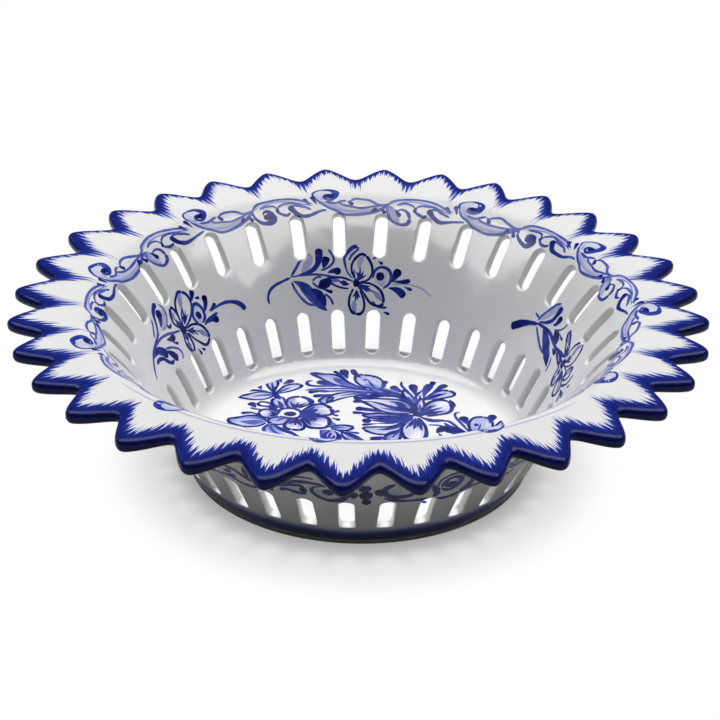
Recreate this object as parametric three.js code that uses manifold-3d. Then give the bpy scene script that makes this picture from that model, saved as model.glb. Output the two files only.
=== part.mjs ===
// A round fruit bowl of glazed earthenware, in millimetres, +Z up, standing on its foot at z = 0.
// The wall is pierced by two rows of slots, and the wide flange is cut into points.
import * as THREE from 'three';
import { mergeVertices } from 'three/addons/utils/BufferGeometryUtils.js';
import Module from 'manifold-3d';

// Overall form
const RIM_HEIGHT = 75.6;        // top of the flange at the points
const MOUTH_RADIUS = 122;       // where the wall has levelled out into the flange
const FLANGE_WIDTH = 28;        // from the mouth to the points
const FLANGE_RISE = 0.4;        // the flange climbs this much over its width
const FLOOR_RADIUS = 67.25;     // flat part of the floor
const WALL_THICKNESS = 4.4;
const FLANGE_THICKNESS = 6.2;   // at the points, where it has grown from the wall's

// Floor, heel and foot
const FOOT_HEIGHT = 2.4;
const FOOT_OUTSET = 8.45;       // the foot's outside stands this far out from the flat floor
const FOOT_WIDTH = 9;
const FOOT_CHAMFER = 0.8;
const FLOOR_THICKNESS = 3.6;
const COVE_RADIUS = 9;          // inside corner between floor and wall
const HEEL_STEP = 0.5;          // the heel starts this far outside the foot
const HEEL_FULLNESS = 4.8;      // how far the heel keeps the wall's direction on its way down
const TURNED_UP_EDGE = 0.8;     // height of the floor's edge, where the wall stands on it

// Flare of the wall: its lean at the floor, and how far its curve keeps the directions of its two ends
const WALL_LEAN = THREE.MathUtils.degToRad(24);
const FOOT_PULL = 4;
const MOUTH_PULL = 16;

// Lap joint between the wall's shoulder and the flange
const LAP_START = 7.5;          // inner end of the lap, inside the mouth
const LAP_END = 3;              // outer end of the lap, inside the mouth
const LAP_DEPTH = 1.4;          // seat below the top surface, at the lap's inner end
const SLIP_GAP = 0.3;           // upright gap for the joining slip

// Slots and points share one count, so each slot lies in line with a point
const POINT_COUNT = 32;
const POINT_DEPTH = 13.5;
const POINT_SHARPNESS = 0.88;   // 0 is a wave, 1 a sharp zigzag
const SLOT_WIDTH = 6.2;
const UPPER_SLOT_LENGTH = 20.9;
const UPPER_SLOT_DROP = 13.5;   // from the mouth down to the slot's top end, along the wall
const LOWER_SLOT_LENGTH = 20.7;
const LOWER_SLOT_LIFT = 0.1;    // from the cove up to the slot's bottom end, along the wall
const CUT_OVERRUN = 4;          // how far a cut runs past the surface on both sides

// Fineness of the curved surfaces
const ROUND_SEGMENTS = 2 * POINT_COUNT;
const WALL_STEPS = 7;
const CORNER_STEPS = 3;
const SLOT_END_STEPS = 3;
const STEPS_PER_POINT = 10;
const HALVINGS = 40;            // steps of the search along a curve
const WELD_DISTANCE = 1e-4;     // corners closer than this are one corner

// Levels that follow from the sizes above
const floorUnderside = FOOT_HEIGHT;
const floorTop = FOOT_HEIGHT + FLOOR_THICKNESS;
const wallBase = floorTop + TURNED_UP_EDGE;
const flangeSlope = FLANGE_RISE / FLANGE_WIDTH;
const rimRadius = MOUTH_RADIUS + FLANGE_WIDTH;
const mouthHeight = RIM_HEIGHT - FLANGE_RISE;
const footOuterRadius = FLOOR_RADIUS + FOOT_OUTSET;
const coveCentre = new THREE.Vector2(FLOOR_RADIUS, floorTop + COVE_RADIUS);

const wasm = await Module();
wasm.setup();

// Inside of the wall, from the top of the cove to the mouth, as (radius, height)
const leanDirection = new THREE.Vector2(Math.sin(WALL_LEAN), Math.cos(WALL_LEAN));
const coveEnd = new THREE.Vector2(
  coveCentre.x + COVE_RADIUS * Math.cos(WALL_LEAN),
  coveCentre.y - COVE_RADIUS * Math.sin(WALL_LEAN),
);
const wallCurve = new THREE.CubicBezierCurve(
  coveEnd,
  coveEnd.clone().addScaledVector(leanDirection, FOOT_PULL),
  new THREE.Vector2(MOUTH_RADIUS - MOUTH_PULL, mouthHeight - MOUTH_PULL * flangeSlope),
  new THREE.Vector2(MOUTH_RADIUS, mouthHeight),
);

// Unit vector square to the wall, pointing out of the bowl
function outwardNormal(t) {
  const along = wallCurve.getTangent(t);
  return new THREE.Vector2(along.y, -along.x);
}

function innerPoint(t) {
  return wallCurve.getPoint(t);
}

function outerPoint(t) {
  return innerPoint(t).addScaledVector(outwardNormal(t), WALL_THICKNESS);
}

// Curve parameter at which a coordinate that grows along the curve reaches a value, by halving
function parameterAt(coordinateAt, value) {
  let low = 0;
  let high = 1;
  for (let i = 0; i < HALVINGS; i += 1) {
    const middle = (low + high) / 2;
    if (coordinateAt(middle) < value) low = middle;
    else high = middle;
  }
  return (low + high) / 2;
}

// Points of a curve from one parameter to another, both ends included
function samples(pointAt, from, to, steps) {
  return Array.from({ length: steps + 1 }, (_, i) => pointAt(from + (to - from) * i / steps));
}

// Inside corner, from the flat floor at 0 to the foot of the wall at 1
function covePoint(t) {
  const angle = -Math.PI / 2 + t * (Math.PI / 2 - WALL_LEAN);
  return new THREE.Vector2(
    coveCentre.x + COVE_RADIUS * Math.cos(angle),
    coveCentre.y + COVE_RADIUS * Math.sin(angle),
  );
}

// Outside corner, from the foot ring at 0 to the foot of the wall's outside at 1
const heelCurve = new THREE.QuadraticBezierCurve(
  new THREE.Vector2(footOuterRadius + HEEL_STEP, floorUnderside),
  outerPoint(0).addScaledVector(leanDirection, -HEEL_FULLNESS),
  outerPoint(0),
);

function heelPoint(t) {
  return heelCurve.getPoint(t);
}

// The wall stands on the floor's edge at one level, which crosses both corners
const coveJoint = parameterAt((t) => covePoint(t).y, wallBase);
const heelJoint = parameterAt((t) => heelPoint(t).y, wallBase);

// Closed solid of a geometry: shared corners merged and empty triangles left out
function solidOf(geometry) {
  const bare = geometry.clone();
  bare.deleteAttribute('normal');
  bare.deleteAttribute('uv');
  const merged = mergeVertices(bare, WELD_DISTANCE);
  const index = merged.index.array;
  const kept = [];
  for (let i = 0; i < index.length; i += 3) {
    const [a, b, c] = [index[i], index[i + 1], index[i + 2]];
    if (a !== b && b !== c && c !== a) kept.push(a, b, c);
  }
  return new wasm.Manifold(new wasm.Mesh({
    numProp: 3,
    vertProperties: new Float32Array(merged.attributes.position.array),
    triVerts: new Uint32Array(kept),
  }));
}

function meshOf(name, solid, material) {
  const { vertProperties, triVerts } = solid.getMesh();
  const geometry = new THREE.BufferGeometry();
  geometry.setAttribute('position', new THREE.BufferAttribute(new Float32Array(vertProperties), 3));
  geometry.setIndex(new THREE.BufferAttribute(new Uint32Array(triVerts), 1));
  geometry.computeVertexNormals();
  const mesh = new THREE.Mesh(geometry, material);
  mesh.name = name;
  return mesh;
}

// A profile of (radius, height) points turned round the upright axis. The outline is closed here and
// runs outwards along its bottom, up its outside and down its inside. The facets are turned by half a
// step, so that each slot lies inside one column of them.
function turnedGeometry(profile) {
  const closed = [...profile, profile[0].clone()];
  const halfStep = Math.PI / ROUND_SEGMENTS;
  return new THREE.LatheGeometry(closed, ROUND_SEGMENTS, halfStep).rotateX(Math.PI / 2);
}

// Low ring with both lower edges chamfered
function footRing() {
  const inner = footOuterRadius - FOOT_WIDTH;
  return solidOf(turnedGeometry([
    new THREE.Vector2(inner + FOOT_CHAMFER, 0),
    new THREE.Vector2(footOuterRadius - FOOT_CHAMFER, 0),
    new THREE.Vector2(footOuterRadius, FOOT_CHAMFER),
    new THREE.Vector2(footOuterRadius, floorUnderside),
    new THREE.Vector2(inner, floorUnderside),
    new THREE.Vector2(inner, FOOT_CHAMFER),
  ]));
}

// Flat floor with its edge turned up between heel and cove
function floorDisc() {
  return solidOf(turnedGeometry([
    new THREE.Vector2(0, floorUnderside),
    ...samples(heelPoint, 0, heelJoint, CORNER_STEPS),
    ...samples(covePoint, coveJoint, 0, CORNER_STEPS),
    new THREE.Vector2(0, floorTop),
  ]));
}

// Lap joint: where it starts on the top surface, where its seat lies and where it ends underneath
const lapInner = parameterAt((t) => innerPoint(t).x, MOUTH_RADIUS - LAP_START);
const lapOuter = parameterAt((t) => outerPoint(t).x, MOUTH_RADIUS - LAP_END);
const lapSeat = innerPoint(lapInner).y - LAP_DEPTH;

// Bell-shaped wall from the floor's edge to the lap's shoulder, not yet pierced
function plainWall() {
  const innerRadius = innerPoint(lapInner).x;
  const outerRadius = outerPoint(lapOuter).x;
  return solidOf(turnedGeometry([
    heelPoint(heelJoint),
    ...samples(outerPoint, 0, lapOuter, WALL_STEPS),
    new THREE.Vector2(outerRadius, lapSeat),
    new THREE.Vector2(innerRadius, lapSeat),
    ...samples(innerPoint, lapInner, 0, WALL_STEPS),
    ...samples(covePoint, 1, coveJoint, CORNER_STEPS).slice(1),
  ]));
}

// One cut through the wall: a long hole with round ends, square to the wall at its middle
function slotCutter(length, distanceFromFoot) {
  const round = SLOT_WIDTH / 2;
  const reach = length / 2 - round;
  const outline = new THREE.Shape();
  outline.absarc(reach, 0, round, -Math.PI / 2, Math.PI / 2);
  outline.absarc(-reach, 0, round, Math.PI / 2, 3 * Math.PI / 2);
  const depth = WALL_THICKNESS + 2 * CUT_OVERRUN;
  const cutter = new THREE.ExtrudeGeometry(outline, {
    depth,
    bevelEnabled: false,
    curveSegments: SLOT_END_STEPS,
  });
  const t = wallCurve.getUtoTmapping(0, distanceFromFoot);
  const along = wallCurve.getTangent(t);
  const normal = outwardNormal(t);
  const start = innerPoint(t).addScaledVector(normal, -CUT_OVERRUN);
  const place = new THREE.Matrix4().makeBasis(
    new THREE.Vector3(along.x, 0, along.y),
    new THREE.Vector3(0, -1, 0),
    new THREE.Vector3(normal.x, 0, normal.y),
  );
  place.setPosition(start.x, 0, start.y);
  return cutter.applyMatrix4(place);
}

// A row of the same cut, one in line with each point of the rim
function slotRow(cutter) {
  let row = solidOf(cutter);
  for (let i = 1; i < POINT_COUNT; i += 1) {
    row = row.add(solidOf(cutter.clone().rotateZ(2 * Math.PI * i / POINT_COUNT)));
  }
  return row;
}

function piercedWall() {
  const wallLength = wallCurve.getLength();
  const upperMiddle = wallLength - UPPER_SLOT_DROP - UPPER_SLOT_LENGTH / 2;
  const lowerMiddle = LOWER_SLOT_LIFT + LOWER_SLOT_LENGTH / 2;
  const upperRow = slotRow(slotCutter(UPPER_SLOT_LENGTH, upperMiddle));
  const lowerRow = slotRow(slotCutter(LOWER_SLOT_LENGTH, lowerMiddle));
  return plainWall().subtract(upperRow.add(lowerRow));
}

// Outline of the points: a zigzag with rounded tips and valleys, as a radius for each angle
function pointedOutline() {
  const steps = POINT_COUNT * STEPS_PER_POINT;
  const outline = Array.from({ length: steps }, (_, i) => {
    const angle = 2 * Math.PI * i / steps;
    const wave = Math.asin(POINT_SHARPNESS * Math.cos(POINT_COUNT * angle)) / Math.asin(POINT_SHARPNESS);
    const radius = rimRadius - POINT_DEPTH * (1 - wave) / 2;
    return new THREE.Vector2(radius * Math.cos(angle), radius * Math.sin(angle));
  });
  return new THREE.Shape(outline);
}

// Sloping flange, lapped over the wall's shoulder and cut to the pointed outline
function pointedRim() {
  const innerRadius = innerPoint(lapInner).x + SLIP_GAP;
  const outerRadius = outerPoint(lapOuter).x + SLIP_GAP;
  const topStart = parameterAt((t) => innerPoint(t).x, innerRadius);
  const underStart = parameterAt((t) => outerPoint(t).x, outerRadius);
  const blankRadius = rimRadius + CUT_OVERRUN;
  const blankTop = RIM_HEIGHT + CUT_OVERRUN * flangeSlope;
  const blank = solidOf(turnedGeometry([
    new THREE.Vector2(outerRadius, lapSeat),
    ...samples(outerPoint, underStart, 1, CORNER_STEPS),
    new THREE.Vector2(blankRadius, blankTop - FLANGE_THICKNESS),
    new THREE.Vector2(blankRadius, blankTop),
    ...samples(innerPoint, 1, topStart, CORNER_STEPS),
    new THREE.Vector2(innerRadius, lapSeat),
  ]));
  const cut = new THREE.ExtrudeGeometry(pointedOutline(), {
    depth: RIM_HEIGHT + 2 * CUT_OVERRUN,
    bevelEnabled: false,
  });
  return blank.intersect(solidOf(cut));
}

const whiteGlaze = new THREE.MeshStandardMaterial({ color: 0xeeeeec, roughness: 0.12, metalness: 0 });
const cobaltGlaze = new THREE.MeshStandardMaterial({ color: 0x1f2f8f, roughness: 0.12, metalness: 0 });
const bareClay = new THREE.MeshStandardMaterial({ color: 0xe2d6c2, roughness: 0.85, metalness: 0 });

const bowl = new THREE.Group();
bowl.add(
  meshOf('foot_ring', footRing(), bareClay),
  meshOf('floor_disc', floorDisc(), whiteGlaze),
  meshOf('pierced_wall', piercedWall(), whiteGlaze),
  meshOf('pointed_rim', pointedRim(), cobaltGlaze),
);

export default bowl;
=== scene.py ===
# %% [markdown]
# # A pierced fruit bowl in blue and white
# The bowl is hand-made earthenware under a white tin glaze, painted in cobalt. Its solids come from the
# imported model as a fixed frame. This lesson lays the glazed surfaces over them, then paints the glaze.

import bmesh
import bpy
import numpy as np
from mathutils import Matrix, Vector


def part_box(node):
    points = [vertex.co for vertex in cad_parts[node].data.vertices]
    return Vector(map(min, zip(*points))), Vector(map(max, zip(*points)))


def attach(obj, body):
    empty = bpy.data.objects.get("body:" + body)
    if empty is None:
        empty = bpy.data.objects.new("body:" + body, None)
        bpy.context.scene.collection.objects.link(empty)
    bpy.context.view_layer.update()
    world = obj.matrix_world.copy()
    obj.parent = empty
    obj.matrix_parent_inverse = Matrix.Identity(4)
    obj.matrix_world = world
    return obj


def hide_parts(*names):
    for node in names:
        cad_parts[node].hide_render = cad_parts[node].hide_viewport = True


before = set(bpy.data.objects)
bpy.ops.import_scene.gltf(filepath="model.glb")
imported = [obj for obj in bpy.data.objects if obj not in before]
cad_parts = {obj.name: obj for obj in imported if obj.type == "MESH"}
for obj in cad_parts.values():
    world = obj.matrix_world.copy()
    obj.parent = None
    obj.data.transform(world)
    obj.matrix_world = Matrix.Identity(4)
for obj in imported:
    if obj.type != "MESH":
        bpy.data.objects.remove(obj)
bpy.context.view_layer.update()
MM = 0.001


def in_scene(name, data):
    """Object that holds the data, put into the scene."""
    made = bpy.data.objects.new(name, data)
    bpy.context.scene.collection.objects.link(made)
    return made


print("nodes", sorted(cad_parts))

# %% [markdown]
# ## Camera
# The photograph looks down into the bowl with a long lens. The camera stands on a ray from the middle of
# the rim, at a distance and a height angle, and then tips down and rolls a little, as a hand-held one does.

# %% Camera
VIEW_TURN = np.radians(3.306)      # the photograph looks along +Y turned by this
VIEW_DISTANCE = 845.2              # from the middle of the rim, in mm
VIEW_HEIGHT_ANGLE = np.radians(25.852)
VIEW_TIP = np.radians(1.676)       # the camera points this far below its ray
VIEW_ROLL = np.radians(0.917)
VIEW_SIDE_STEP = 0.13              # and stands this far to the right of it, in mm
VIEW_AIM_HEIGHT = 74.6
LENS_MM = 98.085
SENSOR_MM = 36.0


def photo_camera():
    """Camera on a ray at a height angle, tipped below that ray, rolled about its own axis, turned about
    Z."""
    pitch = VIEW_HEIGHT_ANGLE + VIEW_TIP
    place = Vector((
        VIEW_SIDE_STEP,
        -VIEW_DISTANCE * np.cos(VIEW_HEIGHT_ANGLE),
        VIEW_DISTANCE * np.sin(VIEW_HEIGHT_ANGLE) + VIEW_AIM_HEIGHT,
    ))
    ahead = Vector((0, np.cos(pitch), -np.sin(pitch)))
    level_up = Vector((0, np.sin(pitch), np.cos(pitch)))
    level_right = Vector((1, 0, 0))
    right = np.cos(VIEW_ROLL) * level_right + np.sin(VIEW_ROLL) * level_up
    up = np.cos(VIEW_ROLL) * level_up - np.sin(VIEW_ROLL) * level_right
    axes = Matrix((right, up, -ahead)).transposed()
    turn = Matrix.Rotation(VIEW_TURN, 3, "Z")
    data = bpy.data.cameras.new("photo_camera")
    data.sensor_width = SENSOR_MM
    data.lens = LENS_MM
    camera = in_scene("photo_camera", data)
    camera.matrix_world = Matrix.Translation(turn @ (place * MM)) @ (turn @ axes).to_4x4()
    bpy.context.scene.camera = camera
    return camera


print("camera at", [round(v, 3) for v in photo_camera().matrix_world.translation])

# %% [markdown]
# ## Section of the bowl
# A thrown bowl is a section turned round an axis. Two rails describe this one: the inside rail runs from
# the rim's outer circle over the flange and down the wall to the cove, and the outside rail runs beside it
# one thickness away. A place on the bowl is then an angle, a distance along the rail and a depth in the
# wall.

# %% Sizes in millimetres
RIM_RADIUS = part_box("pointed_rim")[1].x / MM
RIM_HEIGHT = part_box("pointed_rim")[1].z / MM
FLOOR_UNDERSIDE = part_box("floor_disc")[0].z / MM
WALL_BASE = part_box("floor_disc")[1].z / MM
FLANGE_WIDTH = 28.0
FLANGE_RISE = 0.4
FLANGE_THICKNESS = 6.2             # at the points
WALL_THICKNESS = 4.4
FLOOR_RADIUS = 67.25
TURNED_UP_EDGE = 0.8               # the floor's edge, which the wall stands on
FLOOR_TOP = WALL_BASE - TURNED_UP_EDGE
COVE_RADIUS = 9.0
WALL_LEAN = np.radians(24)
FOOT_PULL = 4.0                    # how far the wall's curve keeps its direction at the foot
MOUTH_PULL = 16.0                  # and at the mouth
FOOT_RADIUS = 75.7
FOOT_WIDTH = 9.0
HEEL_STEP = 0.5                    # the heel starts this far outside the foot
HEEL_FULLNESS = 4.8                # how far the heel keeps the wall's direction on its way down
LAP_RADIUS = 114.5                 # where rim and wall meet, on the inside
FLANGE_SAMPLES = 61                # points of the rails over the flange, the wall and the corner below it
WALL_SAMPLES = 601
CORNER_SAMPLES = 401


def bezier(points, t):
    """Curve of any degree by repeated mixing: each pass mixes neighbouring points by t."""
    rows = [np.outer(np.ones_like(t), p) for p in np.asarray(points, float)]
    while len(rows) > 1:
        rows = [a * (1 - t[:, None]) + b * t[:, None] for a, b in zip(rows, rows[1:])]
    return rows[0]


def lean_vector():
    """Direction up the wall at its foot."""
    return np.array([np.sin(WALL_LEAN), np.cos(WALL_LEAN)])


def heel_curve(wall_outside_foot, count):
    """Outside corner from the wall down to the foot, as a curve with one pull point below the wall."""
    start = np.array([FOOT_RADIUS + HEEL_STEP, FLOOR_UNDERSIDE])
    pull = wall_outside_foot - HEEL_FULLNESS * lean_vector()
    return bezier([wall_outside_foot, pull, start], np.linspace(0, 1, count))


def section_rails():
    """(distance, inside, outside): rails over flange, wall and cove as radius and height, and the distance
    walked along the inside one. Outside is inside moved one thickness square to it, and the heel's
    curve."""
    mouth = np.array([RIM_RADIUS - FLANGE_WIDTH, RIM_HEIGHT - FLANGE_RISE])
    slope = FLANGE_RISE / FLANGE_WIDTH
    share = np.linspace(0, 1, FLANGE_SAMPLES)[:, None]
    flange = np.array([RIM_RADIUS, RIM_HEIGHT]) * (1 - share) + mouth * share
    thickness = FLANGE_THICKNESS * (1 - share) + WALL_THICKNESS * share
    under_flange = flange - np.hstack([0 * share, thickness])

    centre = np.array([FLOOR_RADIUS, FLOOR_TOP + COVE_RADIUS])
    wall_foot = centre + COVE_RADIUS * np.array([np.cos(WALL_LEAN), -np.sin(WALL_LEAN)])
    wall = bezier([wall_foot, wall_foot + FOOT_PULL * lean_vector(),
                   mouth - MOUTH_PULL * np.array([1, slope]), mouth], np.linspace(1, 0, WALL_SAMPLES))
    along = -np.gradient(wall, axis=0)
    along /= np.linalg.norm(along, axis=1)[:, None]
    wall_outside = wall + WALL_THICKNESS * np.column_stack([along[:, 1], -along[:, 0]])

    angle = np.linspace(-WALL_LEAN, -np.pi / 2, CORNER_SAMPLES)
    cove = centre + COVE_RADIUS * np.column_stack([np.cos(angle), np.sin(angle)])
    cove = cove[cove[:, 1] >= WALL_BASE]
    heel = heel_curve(wall_outside[-1], CORNER_SAMPLES)
    heel = heel[heel[:, 1] >= WALL_BASE]
    picks = np.linspace(0, len(heel) - 1, len(cove)).astype(int)
    inside = np.vstack([flange, wall[1:], cove[1:]])
    outside = np.vstack([under_flange, wall_outside[1:], heel[picks][1:]])
    distance = np.r_[0, np.cumsum(np.linalg.norm(np.diff(inside, axis=0), axis=1))]
    return distance, inside, outside


RAIL_S, RAIL_IN, RAIL_OUT = section_rails()
WALL_END_S = RAIL_S[-1]
LAP_S = float(np.interp(-LAP_RADIUS, -RAIL_IN[:, 0], RAIL_S))


def rail_place(rail, s):
    """Radius and height on a rail, at a distance along the inside one."""
    return np.stack([np.interp(s, RAIL_S, rail[:, k]) for k in (0, 1)], -1)


print("rail length", round(WALL_END_S, 2), "lap at", round(LAP_S, 2))

# %% [markdown]
# ## Hand-cut drift
# The points and slots were cut by eye, so they wander round the ring, and the soft flange has sunk here and
# there. A few slow waves give that: one sum for the angle, one for how far the points reach and one for the
# flange's lift. The slots have a drift of their own, with two places where some of them stand further off.
# Everything on the body takes its angle through here.

# %% Drift
POINT_COUNT = 32
PITCH = 2 * np.pi / POINT_COUNT
POINT_DEPTH = 13.5
POINT_SHARPNESS = 0.72             # 0 is a wave, 1 a sharp zigzag
POINT_FULLNESS = 0.87              # under 1 the points are fuller than the valleys
# Each wave has its count round the ring, its cosine part and its sine part, first in degrees and then in mm
ANGLE_WAVES = ((1, -0.24, -0.79), (2, -0.13, 0.23), (3, -0.57, 0.07), (5, -0.41, -0.1))
SLOT_WAVES = ((0, -0.42, 0.0), (1, -0.85, -0.32))
REACH_WAVES = ((0, 0.49, 0.0), (1, -0.91, 0.42), (2, -0.85, -0.28), (3, 0.36, -0.63))
LIFT_WAVES = ((0, -0.39, 0.0), (1, -0.29, 1.33), (2, 0.68, 0.4))
LIFT_GROWTH = 1.5                  # power by which the lift grows from the lap outwards
RIPPLE_HEIGHT = 0.2                # a small even ripple of the flange
RIPPLE_COUNT = 5
RIPPLE_START = 2.0
DRIFT_FULL_S = 42.0                # the drift is whole above this distance along the rail
DRIFT_LOW_S = 92.0                 # and has faded below this one
DRIFT_LEFT = 0.3                   # to this share
SLOT_DRIFT_S = (28.0, 34.0, 64.0, 88.0)    # places down the rail for the shares of the slots' own drift
UPPER_DRIFT_SHARE = (0.0, 1.0, 1.0, 0.0)
LOWER_DRIFT_SHARE = (0.0, 0.0, 0.0, 1.0)
LOCAL_TURNS = (                    # shares down the rail, degrees off, where, and how fast that fades
    (UPPER_DRIFT_SHARE, -1.2, 112, 34.0),
    (LOWER_DRIFT_SHARE, -3.0, 47, 5.7),
)


def waves(angle, terms):
    """Sum of cosine and sine waves round the ring, measured from the photograph's right-hand side."""
    turned = np.asarray(angle) - VIEW_TURN
    return sum(c * np.cos(n * turned) + s * np.sin(n * turned) for n, c, s in terms)


def drifted(angle, s):
    """The angle moved by the drift, which is whole on the rim and fades down the wall, and below the mouth
    also by the slots' own waves and local turns. A local turn is whole at its middle angle and falls away
    as e to the power of the cosine's drop from there, times its narrowness."""
    fade = np.clip((np.asarray(s) - DRIFT_FULL_S) / (DRIFT_LOW_S - DRIFT_FULL_S), 0, 1)
    weight = 1 - (1 - DRIFT_LEFT) * fade * fade * (3 - 2 * fade)
    turn = waves(angle, ANGLE_WAVES) * weight
    turn = turn + waves(angle, SLOT_WAVES) * np.interp(s, SLOT_DRIFT_S, UPPER_DRIFT_SHARE)
    for share, most, middle, narrow in LOCAL_TURNS:
        near = np.exp(narrow * (np.cos(angle - np.radians(middle)) - 1))
        turn = turn + most * near * np.interp(s, SLOT_DRIFT_S, share)
    return angle + np.radians(turn)


def flange_lift(angle, radius):
    """Unevenness of the flange, which has sunk a little on the near side: waves round the ring that grow
    from nothing at the lap."""
    out = np.clip((radius - LAP_RADIUS) / (RIM_RADIUS - LAP_RADIUS), 0, None)
    ripple = out * RIPPLE_HEIGHT * np.sin(RIPPLE_COUNT * angle + RIPPLE_START)
    return out ** LIFT_GROWTH * waves(angle, LIFT_WAVES) + ripple


def on_body(angle, s, depth):
    """Point at an angle, a distance along the rail and a depth from inside (0) to outside (1)."""
    mix = np.broadcast_to(depth, np.shape(s))[..., None]
    section = rail_place(RAIL_IN, s) * (1 - mix) + rail_place(RAIL_OUT, s) * mix
    radius, height = section[..., 0], section[..., 1]
    return np.stack([radius * np.cos(angle), radius * np.sin(angle), height + flange_lift(angle, radius)], -1)


print("drift in degrees at the back", round(float(waves(np.pi / 2, ANGLE_WAVES)), 2))

# %% [markdown]
# ## Putting arrays into meshes
# Every piece is one mesh at the origin. Doubled corners are merged, and a piece whose volume comes out
# negative is turned right side out. The ring where two pieces meet is given the normal of the whole body, so
# the glaze runs over the joint without a break; each call resets a mesh's other normals, so on a mesh joined
# at several rings only the last ring keeps it.

# %% Mesh helpers
WELD = 1e-7                        # corners this near, in metres, are merged
JOINT_NEAR = 0.02                  # corners this near a joint, in mm, belong to its ring


def ring_angles(count):
    """Even angles round the axis."""
    return 2 * np.pi * np.arange(count) / count


def grid_quads(rows, columns, closed_rows=False, closed_columns=False):
    """Corner numbers of the quads of a grid, wrapping round where it is closed."""
    i = np.arange(rows if closed_rows else rows - 1)[:, None]
    j = np.arange(columns if closed_columns else columns - 1)[None, :]
    below = (i + 1) % rows
    right = (j + 1) % columns
    corners = [i * columns + j, i * columns + right, below * columns + right, below * columns + j]
    return np.stack([np.broadcast_to(c, (i.size, j.size)) for c in corners], -1).reshape(-1, 4)


def signed_volume(points, quads):
    """Sum over the faces of the tetrahedra to the origin: positive when the faces point out."""
    a, b, c, d = (points[quads[:, k]] for k in range(4))
    return float((np.cross(b - a, c - a) * a).sum() + (np.cross(c - a, d - a) * a).sum()) / 6


def mesh_piece(name, points, quads):
    """Object holding the points, given in mm, and their quads, smooth-shaded, merged and facing out."""
    if signed_volume(points, quads) < 0:
        quads = quads[:, ::-1]
    mesh = bpy.data.meshes.new(name)
    mesh.from_pydata((points * MM).tolist(), [], quads.tolist())
    work = bmesh.new()
    work.from_mesh(mesh)
    bmesh.ops.remove_doubles(work, verts=work.verts, dist=WELD)
    bmesh.ops.dissolve_degenerate(work, edges=work.edges, dist=WELD)
    open_edges = sum(not edge.is_manifold for edge in work.edges)
    work.to_mesh(mesh)
    work.free()
    mesh.shade_smooth()
    print(name, len(mesh.polygons), "faces,", open_edges, "open edges")
    return in_scene(name, mesh)


def vectors_of(items, name):
    """One vector property of all the items as an array."""
    flat = np.empty(len(items) * 3, np.float32)
    items.foreach_get(name, flat)
    return flat.reshape(-1, 3)


def add_layer(mesh, name, values):
    """Writes one number for each corner of a mesh under a name."""
    layer = mesh.attributes.new(name, "FLOAT", "POINT")
    layer.data.foreach_set("value", np.ravel(values).astype(np.float32))


def join_glaze(mesh, inside_s, outside):
    """Gives the ring of corners at a place on the rails the normal of the whole body: the rail's direction
    turned a quarter, away from the wall. The other corners get the mesh's own vertex normals again, so an
    earlier ring on the same mesh loses its normal."""
    points = vectors_of(mesh.vertices, "co") / MM
    section = np.column_stack([np.hypot(points[:, 0], points[:, 1]), points[:, 2]])
    rail = RAIL_OUT if outside else RAIL_IN
    chosen = np.flatnonzero(np.linalg.norm(section - rail_place(rail, inside_s), axis=1) < JOINT_NEAR)
    k = int(np.clip(np.searchsorted(RAIL_S, inside_s), 1, len(RAIL_S) - 2))
    run = rail[k - 1] - rail[k + 1]
    square = np.array([-run[1], run[0]]) / np.linalg.norm(run)
    square = -square if outside else square
    angle = np.arctan2(points[chosen, 1], points[chosen, 0])
    normals = vectors_of(mesh.vertex_normals, "vector")
    normals[chosen] = np.column_stack([square[0] * np.cos(angle), square[0] * np.sin(angle),
                                       np.full_like(angle, square[1])])
    mesh.normals_split_custom_set_from_vertices(normals.tolist())
    print(mesh.name, "joint ring", len(chosen))


# %% [markdown]
# ## Glaze
# Tin glaze is a white, glassy coat, slightly uneven, with a few pinholes. One function builds its nodes
# from the strength of the pigment, so the bare white, the painted rim and the brush strokes share the same
# gloss and ripple.

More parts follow.
